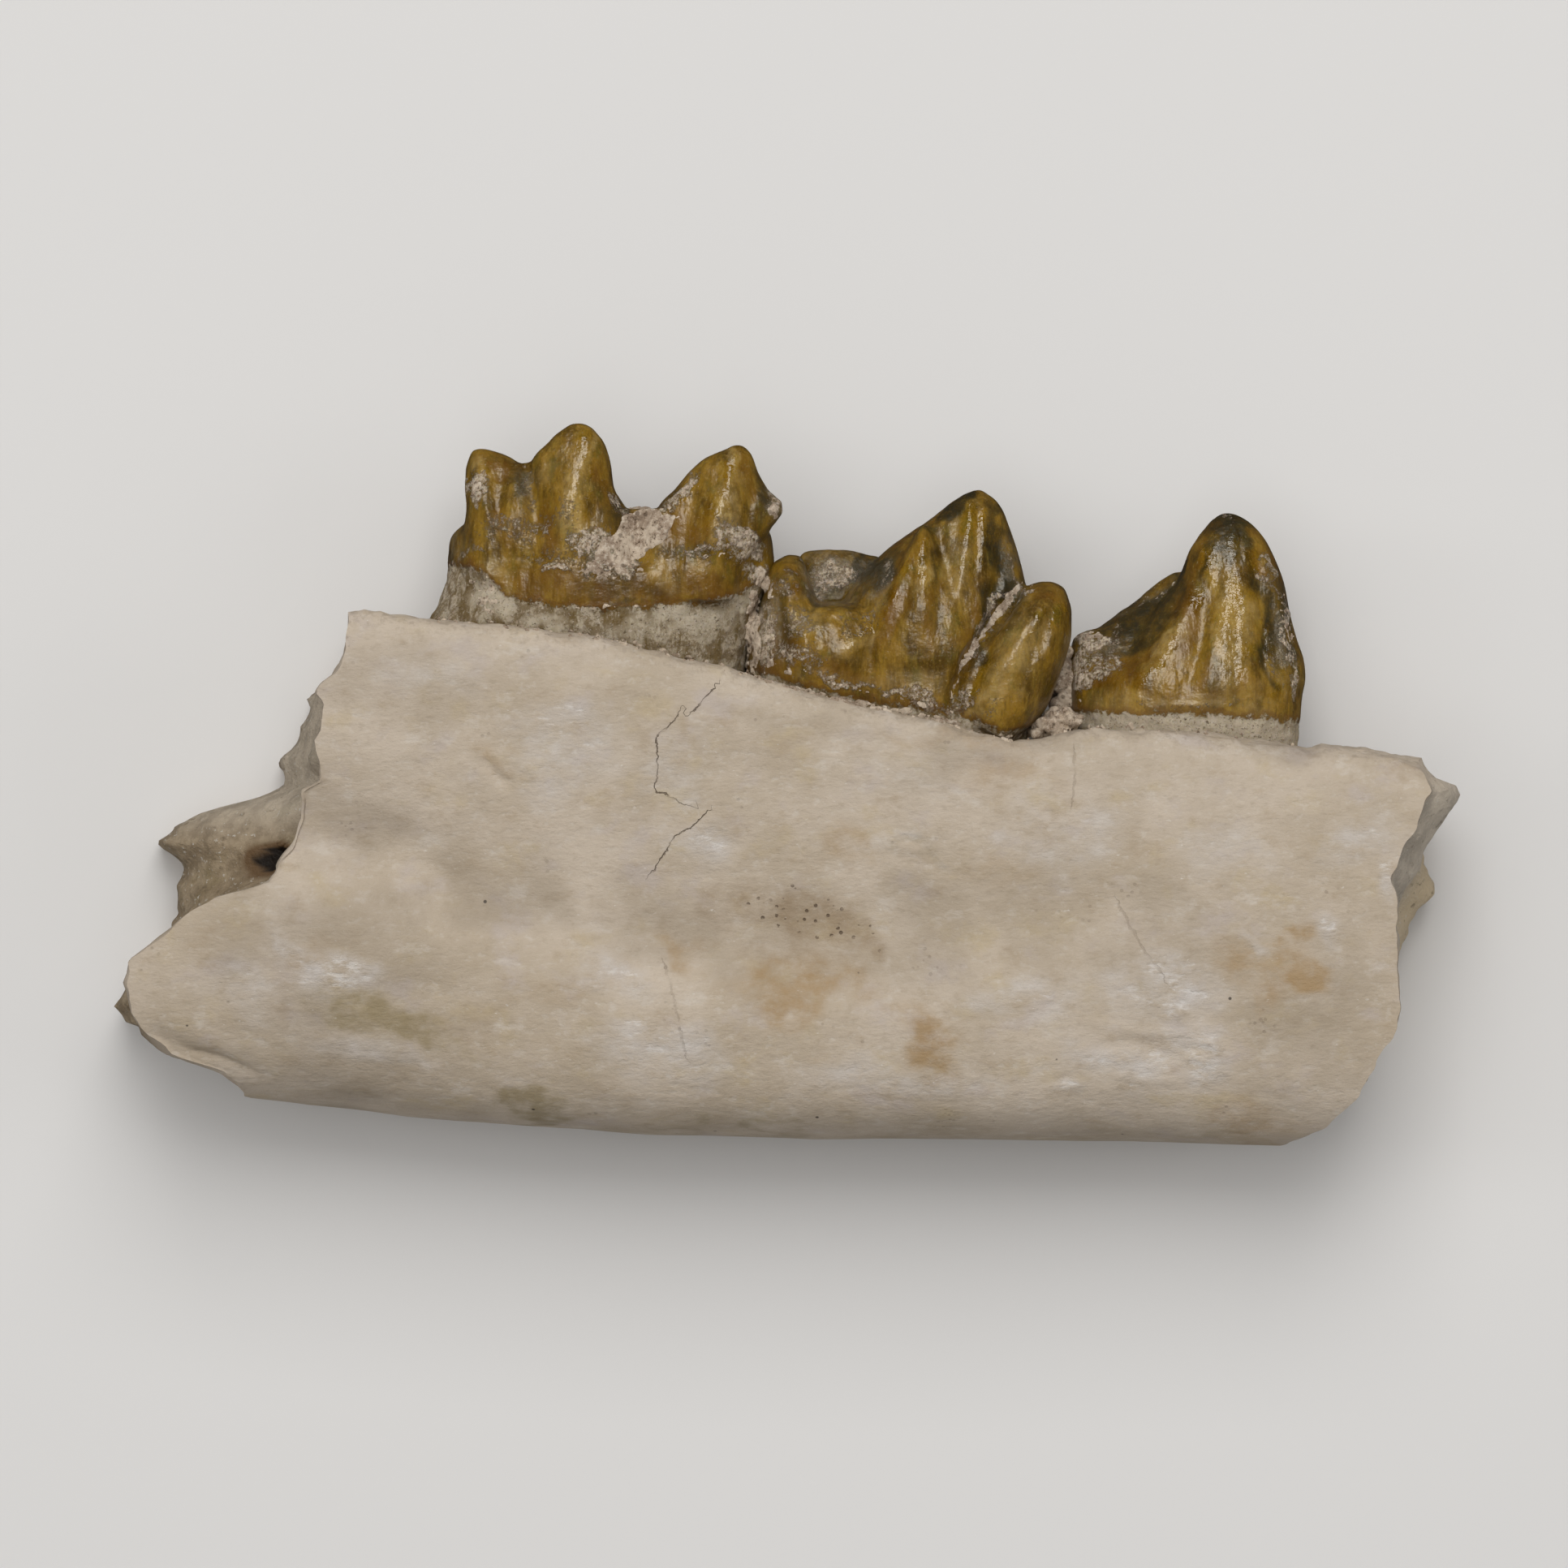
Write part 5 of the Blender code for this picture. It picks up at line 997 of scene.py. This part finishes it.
def matrix_piece(carriers):
    """Grains of matrix that lie on the teeth and fill the clefts between them, as one crust."""
    trees = []
    for obj in carriers:
        bm = bmesh.new()
        bm.from_mesh(obj.data)
        trees.append(BVHTree.FromBMesh(bm))
        bm.free()
    rng = np.random.default_rng(5)
    grains = []

    def drop(x, y, radius, lift):
        """Lay a grain on the highest surface under this point."""
        found = [tree.ray_cast(Vector((x, y, DROP_FROM_Z)), Vector((0, 0, -1)))[0] for tree in trees]
        found = [hit.z for hit in found if hit is not None and hit.z > LOWEST_LANDING_Z]
        if found:
            grains.append((x, y, max(found) - radius * GRAIN_SUNK + lift, radius))

    def spots(x, y, length, width, turn, number):
        """Random points in an oval, each with its distance from the middle as a share."""
        angle = math.radians(turn)
        for _ in range(number):
            reach = math.sqrt(rng.random())
            way = rng.random() * 2 * math.pi
            along = length * reach * math.cos(way)
            across = width * reach * math.sin(way)
            yield (x + along * math.cos(angle) - across * math.sin(angle),
                   y + along * math.sin(angle) + across * math.cos(angle), reach)

    for *bed, small, large, lift in MATRIX_BEDS:
        for x, y, reach in spots(*bed):
            drop(x, y, rng.uniform(small, large) * (1.1 - 0.4 * reach), lift)
    for *bed, small, large, height in CLEFT_BEDS:
        for x, y, reach in spots(*bed):
            grains.append((x, y, height - rng.uniform(0.0, 1.0), rng.uniform(small, large)))
    for start, end, number in CREST_BEDS:
        for _ in range(number):
            x = rng.uniform(start, end)
            y = float(edge_value(TOP_EDGE, x, 0, 1)) + rng.uniform(-0.04, 0.1)
            drop(x, y, rng.uniform(0.025, 0.065), 0.0)
    balls = new_object("matrix", mesh_of_balls("matrix", np.array(grains)))
    crust = fused(balls, CRUMB_VOXEL, CRUMB_SOFTENING)
    points, normals = points_and_normals(crust.data)
    set_points(crust.data, points + normals * relief_of(points, MATRIX_RELIEF)[:, None])
    return crust


def tone(colour):
    """Display colour from 0 to 255 as the renderer's own colour; the output of a node stays as it is."""
    if isinstance(colour, bpy.types.NodeSocket):
        return colour
    values = [channel / 255 for channel in colour]
    return [v / 12.92 if v <= 0.04045 else ((v + 0.055) / 1.055) ** 2.4 for v in values] + [1.0]


class Nodes:
    """Short calls that add nodes to a tree. Each gives back the output to use next."""

    def __init__(self, tree):
        self.tree = tree
        self.where = None

    def add(self, kind, inputs, output=0, **settings):
        """Output of a new node with these settings and inputs, values or other nodes' outputs."""
        made = self.tree.nodes.new(kind)
        for key, value in settings.items():
            setattr(made, key, value)
        for key, value in inputs.items():
            if isinstance(value, bpy.types.NodeSocket):
                self.tree.links.new(value, made.inputs[key])
            else:
                made.inputs[key].default_value = value
        return made.outputs[output]

    def place(self, sizes, shift):
        """Coordinates on the piece in units of these sizes, in millimetres, moved along by a shift."""
        if self.where is None:
            metres = self.add("ShaderNodeTexCoord", {}, "Object")
            self.where = self.add("ShaderNodeVectorMath", {0: metres, "Scale": 1000.0}, operation="SCALE")
        scale = [1 / size for size in sizes]
        return self.add("ShaderNodeMapping", {"Vector": self.where, "Scale": scale, "Location": shift})

    def noise(self, size, detail, rough, stretch=(1.0, 1.0, 1.0), seed=0.0):
        """Noise from 0 to 1 with marks of about this size in millimetres."""
        place = self.place([size * s for s in stretch], (seed * 3.7, seed * 1.9, seed * 5.3))
        return self.add("ShaderNodeTexNoise", {"Vector": place, "Scale": 1.0, "Detail": detail,
                                               "Roughness": rough}, "Fac")

    def cells(self, size, seed):
        """Distance from the middle of scattered round cells, 0 at the middle."""
        place = self.place([size] * 3, (seed * 2.3, seed * 4.1, seed * 1.7))
        return self.add("ShaderNodeTexVoronoi", {"Vector": place, "Scale": 1.0}, "Distance")

    def stored(self, name):
        """Value stored on the points of the mesh."""
        return self.add("ShaderNodeAttribute", {}, "Fac", attribute_name=name)

    def rise(self, value, low, high, start=0.0, end=1.0):
        """Smooth rise from start to end while the value goes from low to high."""
        limits = {"Value": value, "From Min": low, "From Max": high, "To Min": start, "To Max": end}
        return self.add("ShaderNodeMapRange", limits, "Result", interpolation_type="SMOOTHSTEP")

    def maths(self, operation, a, b=0.0):
        """Sum, product or other result of two values."""
        return self.add("ShaderNodeMath", {0: a, 1: b}, operation=operation)

    def times(self, a, b):
        """Product of two values."""
        return self.maths("MULTIPLY", a, b)

    def plus(self, a, b):
        """Sum of two values."""
        return self.maths("ADD", a, b)

    def layered(self, colour, *layers):
        """Colour under layers, each (colour, share) or (colour, value, low, high, most).

        In the long form the share rises from 0 to most, which is 1 if left out, while the value goes from
        low to high.
        """
        for over, value, *limits in layers:
            if limits:
                low, high, *most = limits
                value = self.rise(value, low, high, 0.0, *most)
            mixed = {0: value, 6: tone(colour), 7: tone(over)}
            colour = self.add("ShaderNodeMix", mixed, 2, data_type="RGBA")
        return colour

    def patchy(self, mask, pattern, softness):
        """Mask broken up by a pattern: full where the mask is strong, scattered where it is weak."""
        over = self.maths("SUBTRACT", pattern, self.maths("SUBTRACT", 1.0, mask))
        return self.rise(over, -softness, softness)

    def stained(self, mask, pattern):
        """Soft stain with a ragged edge and a blotchy middle."""
        swing = self.times(self.rise(pattern, 0.25, 0.75, -0.34, 0.34), self.rise(mask, 0.0, 0.8))
        covered = self.rise(self.plus(mask, swing), 0.0, 1.15)
        return self.times(covered, self.rise(pattern, 0.3, 0.65, 0.75, 1.0))


def new_material(name, constants):
    """Node material, its shader with these constants set, and the calls that add nodes to it."""
    made = bpy.data.materials.new(name)
    made.use_nodes = True
    shader = made.node_tree.nodes["Principled BSDF"]
    for key, value in {"Metallic": 0.0, **constants}.items():
        shader.inputs[key].default_value = value
    return made, shader, Nodes(made.node_tree)


def finish_surface(nodes, shader, colour, roughness, heights):
    """Give the shader its colour, its roughness and a bump of (value, height in millimetres) layers."""
    total = reduce(nodes.plus, [nodes.times(value, height) for value, height in heights])
    bump = nodes.add("ShaderNodeBump", {"Height": total, "Strength": 1.0, "Distance": MM})
    for key, output in (("Base Color", colour), ("Roughness", roughness), ("Normal", bump)):
        nodes.tree.links.new(output, shader.inputs[key])


def bone_material():
    """Dry fossil bone: cream, finely streaked and stained, with whitish scuffs that carry painted sheen,
    zones of painted shade and painted shadow in its holes; greyer and pitted where it is broken, where facets
    and rims are partly painted light.
    """
    made, shader, nodes = new_material("fossil bone", {"Specular IOR Level": 0.4})
    noise, rise, times, stored, layered = nodes.noise, nodes.rise, nodes.times, nodes.stored, nodes.layered
    broad = noise(2.2, 4.0, 0.6)
    cloud = noise(0.5, 5.0, 0.65, (1.4, 1.0, 1.0), 11.0)
    hue = noise(0.9, 4.0, 0.6, (1.3, 1.0, 1.0), 13.0)
    streaks = noise(0.12, 4.0, 0.62, (2.6, 1.0, 1.0), 1.0)
    fine = noise(0.05, 3.0, 0.6, (1.4, 1.0, 1.0), 2.0)
    fleck = noise(0.4, 4.0, 0.6, (1.2, 1.0, 1.0), 3.0)
    mottle = noise(0.18, 3.0, 0.6, (1.3, 1.0, 1.0), 14.0)
    flakes = noise(0.17, 5.0, 0.7, (2.6, 1.0, 1.0), 4.0)
    glints = noise(0.1, 3.0, 0.6, (2.0, 1.0, 1.0), 15.0)
    crest_grain = noise(0.13, 4.0, 0.7, seed=8.0)
    brown = stored("brown")
    scuff_and_sheen = stored("scuff_and_sheen")
    core = stored("core")
    hole = stored("hole")
    scuffed_and_sheen = nodes.patchy(rise(scuff_and_sheen, 0.0, 1.0, 0.2, 0.46), flakes, 0.08)
    pore_field = rise(noise(1.3, 2.0, 0.5, seed=6.0), 0.62, 0.72, 0.0, 0.3)
    crowded = times(rise(brown, 0.55, 0.8), rise(mottle, 0.42, 0.52))
    pores = times(rise(nodes.cells(0.15, 5.0), 0.3, 0.17), nodes.maths("MAXIMUM", pore_field, crowded))
    crest = times(stored("crest"), rise(crest_grain, 0.5, 0.62))
    wander = rise(noise(0.2, 4.0, 0.65, seed=10.0), 0.2, 0.8, -0.04, 0.04)
    breaks = rise(noise(0.35, 2.0, 0.5, seed=12.0), 0.3, 0.55, 0.2, 1.0)
    lines = []
    for name, outer, inner, most in (("crack", 0.018, 0.004, 1.0), ("faint", 0.03, 0.01, 0.25)):
        gap = nodes.maths("ABSOLUTE", nodes.plus(stored(name), wander))
        lines.append(times(rise(gap, outer, inner, 0.0, most), stored(name + "_reach")))
    cracked = times(nodes.maths("MAXIMUM", *lines), breaks)
    # Paler broken facets; on the front break this lighter colour is partly painted light
    facet = layered((196, 185, 169), ((173, 163, 149), fleck, 0.33, 0.67))
    inside = layered(
        (150, 133, 108),
        ((120, 103, 78), fleck, 0.35, 0.65),
        ((116, 101, 68), hue, 0.52, 0.68, 0.6),
        (facet, stored("facet")),
        ((200, 180, 146), times(stored("front_tan"), 0.85)),
        ((206, 203, 197), crest_grain, 0.6, 0.68, 0.6),
        ((92, 78, 56), mottle, 0.6, 0.7, 0.55),
    )
    colour = layered(
        (172, 157, 137),
        ((189, 175, 158), broad, 0.3, 0.7),
        ((178, 160, 126), hue, 0.54, 0.74, 0.55),
        ((178, 166, 158), hue, 0.46, 0.28, 0.65),
        ((160, 141, 116), cloud, 0.54, 0.74, 0.5),
        ((200, 191, 180), cloud, 0.45, 0.28, 0.5),
        ((152, 136, 115), streaks, 0.56, 0.76, 0.3),
        ((204, 196, 184), streaks, 0.43, 0.26, 0.28),
        ((155, 140, 120), mottle, 0.56, 0.72, 0.28),
        ((202, 194, 183), mottle, 0.42, 0.28, 0.28),
        # Painted shade: darker zones where the relief should fall into shade
        ((130, 116, 98), times(stored("painted_shade"), rise(cloud, 0.3, 0.7, 0.36, 0.5))),
        ((132, 110, 82), times(nodes.stained(brown, fleck), 0.62)),
        ((152, 122, 78), times(nodes.stained(stored("tan"), fleck), 0.75)),
        ((132, 116, 78), times(nodes.stained(stored("olive"), fleck), 0.66)),
        # Whitish film of the scuffs, with bright flakes over it that are partly painted sheen
        ((192, 186, 182), times(times(scuff_and_sheen, rise(cloud, 0.64, 0.36, 0.2, 1.0)), 0.66)),
        ((216, 212, 208), times(scuffed_and_sheen, 0.42)),
        ((214, 208, 199), glints, 0.3, 0.24, 0.5),
        ((72, 54, 38), times(pores, 0.75)),
        ((38, 32, 28), nodes.cells(1.3, 7.0), 0.034, 0.02, 0.8),
        ((146, 132, 116), times(crest, 0.45)),
        (inside, times(core, 0.92)),
        # Pale rims of the broken faces, partly painted rim light
        ((192, 175, 154), times(stored("edge"), 0.75)),
        # Brownish lining and a near-black painted shadow in the holes of the rear break
        ((92, 68, 42), hole, 0.0, 0.4, 0.9),
        ((24, 17, 12), hole, 0.5, 0.78),
        ((92, 74, 56), times(cracked, 0.8)),
    )
    lumps = times(scuff_and_sheen, nodes.maths("SUBTRACT", 1.0, flakes))
    heights = [(streaks, 0.02), (fine, 0.006), (mottle, 0.02), (cloud, 0.03), (lumps, 0.05), (pores, -0.02),
               (cracked, -0.03), (times(crest_grain, core), 0.05)]
    finish_surface(nodes, shader, colour, rise(scuffed_and_sheen, 0.0, 1.0, 0.62, 0.38), heights)
    return made


def enamel_material():
    """Fossil enamel: amber and honey with fine upright streaks, dusty under crust and chalky at the roots,
    with a painted highlight glow on its pale zones and painted shade along the crown's outline.
    """
    made, shader, nodes = new_material("amber enamel", {
        "IOR": 1.6, "Specular IOR Level": 0.5, "Subsurface Weight": 0.15,
        "Subsurface Radius": (1.0, 0.55, 0.15), "Subsurface Scale": 0.0003})
    noise, rise, times, stored, layered = nodes.noise, nodes.rise, nodes.times, nodes.stored, nodes.layered
    streaks = noise(0.055, 4.0, 0.6, (1.0, 8.0, 1.0), 1.0)
    bands = noise(0.26, 3.0, 0.6, (1.0, 4.5, 1.0), 6.0)
    broad = noise(0.6, 4.0, 0.62, (0.8, 1.6, 0.8), 2.0)
    hue = noise(0.45, 4.0, 0.65, (0.8, 1.4, 0.8), 8.0)
    speck = noise(0.075, 5.0, 0.85, seed=3.0)
    mottle = noise(0.24, 6.0, 0.75, seed=4.0)
    wrinkle = noise(0.15, 2.0, 0.5, (1.1, 0.9, 1.0), 5.0)
    ripple = noise(0.2, 2.0, 0.45, (0.8, 2.6, 0.8), 7.0)
    grit = noise(0.05, 4.0, 0.8, (1.0, 1.5, 1.0), 9.0)
    crinkle = noise(0.12, 3.0, 0.6, (1.7, 0.7, 1.0), 10.0)
    lace = nodes.plus(times(speck, 0.65), times(mottle, 0.35))
    pale = stored("pale")
    amber = times(stored("amber"), rise(bands, 0.25, 0.65, 1.0, 0.55))
    pale_with_painted_glow = times(pale, rise(mottle, 0.32, 0.6, 1.0, 0.4))
    flecks = rise(speck, 0.6, 0.68, 0.0, 0.65)
    darkness = times(stored("dark"), rise(mottle, 0.3, 0.6, 1.0, 0.75))
    haze = times(stored("haze"), rise(lace, 0.36, 0.56, 1.0, 0.15))
    dust = nodes.patchy(rise(stored("crust"), 0.0, 1.0, 0.32, 0.55), lace, 0.05)
    line = nodes.plus(stored("above"), rise(mottle, 0.2, 0.8, -0.14, 0.14))
    root = rise(line, 0.02, -0.06)
    rim_band = times(rise(line, -0.03, 0.03), rise(line, 0.16, 0.04))
    crystal = layered(
        (142, 132, 110),
        ((50, 44, 26), mottle, 0.43, 0.6),
        ((176, 168, 150), speck, 0.42, 0.32, 0.7),
    )
    dusty = layered(
        (226, 210, 188),
        ((190, 168, 142), grit, 0.42, 0.58),
        ((86, 66, 38), grit, 0.58, 0.66, 0.8),
    )
    chalk = layered(
        (182, 168, 145),
        ((130, 112, 82), mottle, 0.42, 0.56),
        ((110, 88, 44), bands, 0.5, 0.6, 0.8),
        ((206, 193, 170), times(pale, 0.7)),
        ((212, 202, 188), grit, 0.44, 0.34, 0.6),
        ((88, 66, 32), speck, 0.55, 0.63, 0.85),
    )
    colour = layered(
        (78, 55, 0),
        ((134, 101, 20), broad, 0.34, 0.64),
        ((88, 79, 20), hue, 0.52, 0.7, 0.6),
        ((122, 88, 22), hue, 0.44, 0.3, 0.4),
        ((148, 118, 38), bands, 0.5, 0.72, 0.55),
        ((66, 48, 3), streaks, 0.52, 0.74, 0.5),
        ((160, 134, 62), streaks, 0.44, 0.26, 0.34),
        ((170, 138, 72), grit, 0.53, 0.68, 0.36),
        ((64, 50, 8), grit, 0.46, 0.32, 0.4),
        ((104, 68, 0), times(amber, 0.9)),
        # Pale zones: lighter enamel with a painted highlight glow along the lit ridges and columns
        ((180, 153, 94), times(pale_with_painted_glow, 0.62)),
        # Painted shade along the crown's outline, where the surface turns side-on
        ((74, 52, 4), times(stored("turned"), 0.28)),
        ((184, 162, 120), flecks),
        ((54, 38, 6), speck, 0.4, 0.3, 0.45),
        ((26, 22, 4), times(darkness, 0.94)),
        (crystal, times(haze, 0.8)),
        (dusty, times(dust, 0.88)),
        ((48, 44, 28), times(times(darkness, rise(lace, 0.56, 0.46)), 0.75)),
        (chalk, root),
        ((98, 62, 16), times(rim_band, 0.55)),
    )
    dull = nodes.maths("MAXIMUM", nodes.maths("MAXIMUM", dust, root), times(haze, 0.5))
    gloss = times(stored("gloss"), nodes.maths("SUBTRACT", 1.0, dull))
    roughness = nodes.maths("SUBTRACT", rise(dull, 0.0, 1.0, 0.36, 0.85), times(gloss, 0.26))
    heights = [(wrinkle, 0.022), (streaks, 0.002), (ripple, 0.03), (flecks, 0.006),
               (times(crinkle, gloss), 0.03), (times(speck, dull), 0.05)]
    finish_surface(nodes, shader, colour, roughness, heights)
    return made


def matrix_material():
    """Pale, pinkish rock matrix with dark grains."""
    made, shader, nodes = new_material("rock matrix", {"Specular IOR Level": 0.3})
    speck = nodes.noise(0.1, 5.0, 0.85, seed=2.0)
    colour = nodes.layered(
        (208, 190, 168),
        ((164, 144, 124), nodes.noise(0.45, 4.0, 0.65, seed=1.0), 0.42, 0.58),
        ((220, 207, 189), speck, 0.47, 0.39, 0.85),
        ((72, 52, 32), speck, 0.55, 0.62, 0.85),
        ((66, 48, 30), nodes.cells(0.24, 3.0), 0.26, 0.14, 0.5),
    )
    finish_surface(nodes, shader, colour, nodes.rise(speck, 0.3, 0.7, 0.75, 0.95), [(speck, -0.05)])
    return made


def place_piece(obj, surface, nodes):
    """Turn a finished piece into metres, give it its surface, hang it under the root body and hide the solids
    it stands for.
    """
    obj.data.transform(Matrix.Scale(MM, 4))
    obj.data.materials.clear()
    obj.data.materials.append(surface)
    obj.data.shade_smooth()
    obj.data.set_sharp_from_angle(angle=SHARP_FROM)
    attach(obj, "root")
    if nodes:
        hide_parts(*nodes)


def soft_light(name, place, size, power, role, colour):
    """Soft studio light aimed at the piece, in metres and watts, seen either as shine or as matt light."""
    data = bpy.data.lights.new(name, "AREA")
    data.shape = "RECTANGLE"
    data.size, data.size_y = size
    data.energy = power
    data.color = colour
    obj = new_object(name, data)
    obj.location = place
    obj.rotation_euler = (-Vector(place)).to_track_quat("-Z", "Y").to_euler()
    obj.visible_glossy = role == "shine"
    obj.visible_diffuse = role == "matt"


def set_world():
    """Even pale surroundings that are darker in reflections."""
    world = bpy.data.worlds.new("studio")
    world.use_nodes = True
    nodes = Nodes(world.node_tree)
    glossy = nodes.add("ShaderNodeLightPath", {}, "Is Glossy Ray")
    level = nodes.rise(glossy, 0.0, 1.0, WORLD_STRENGTH, WORLD_REFLECTION)
    background = world.node_tree.nodes["Background"]
    background.inputs["Color"].default_value = WORLD_COLOUR
    world.node_tree.links.new(level, background.inputs["Strength"])
    bpy.context.scene.world = world


def set_stage():
    """Pale floor, soft lights and the camera that looks straight down on the piece."""
    mesh = bpy.data.meshes.new("floor")
    corners = [(-FLOOR_HALF, -FLOOR_HALF, 0), (FLOOR_HALF, -FLOOR_HALF, 0), (FLOOR_HALF, FLOOR_HALF, 0),
               (-FLOOR_HALF, FLOOR_HALF, 0)]
    mesh.from_pydata(corners, [], [(0, 1, 2, 3)])
    floor = new_object("floor", mesh)
    floor.location.z = FLOOR_Z
    floor.visible_glossy = False
    mesh.materials.append(new_material("pale floor", {"Base Color": FLOOR_COLOUR, "Roughness": 0.9})[0])
    set_world()
    for light in LIGHTS:
        soft_light(*light)
    camera = new_object("camera", bpy.data.cameras.new("camera"))
    camera.data.sensor_width = SENSOR
    camera.data.lens = LENS
    camera.data.clip_start = 0.01
    distance = FRAME_WIDTH * LENS / SENSOR
    camera.location = (IMAGE_CENTRE[0] * MM, IMAGE_CENTRE[1] * MM, (MID_Z + distance) * MM)
    bpy.context.scene.camera = camera
    bpy.context.scene.view_settings.view_transform = "Standard"


teeth = [
    tooth_piece("molar_crown", MOLAR_CUSPS, MOLAR_CRESCENTS, MOLAR_STROKES, MOLAR_ENAMEL, MOLAR_MARKS),
    tooth_piece("rear_premolar_crown", REAR_PREMOLAR_CUSPS, [], REAR_PREMOLAR_STROKES,
                REAR_PREMOLAR_ENAMEL, REAR_PREMOLAR_MARKS),
    tooth_piece("front_premolar_crown", FRONT_PREMOLAR_CUSPS, [], FRONT_PREMOLAR_STROKES,
                FRONT_PREMOLAR_ENAMEL, FRONT_PREMOLAR_MARKS),
]
bone = bone_piece()
matrix = matrix_piece(teeth + [bone])
enamel = enamel_material()
for crown, node in zip(teeth, ("molar", "rear_premolar", "front_premolar")):
    place_piece(crown, enamel, [node])
place_piece(bone, bone_material(), ["jaw_bone"])
place_piece(matrix, matrix_material(), [])
set_stage()

bpy.context.view_layer.update()
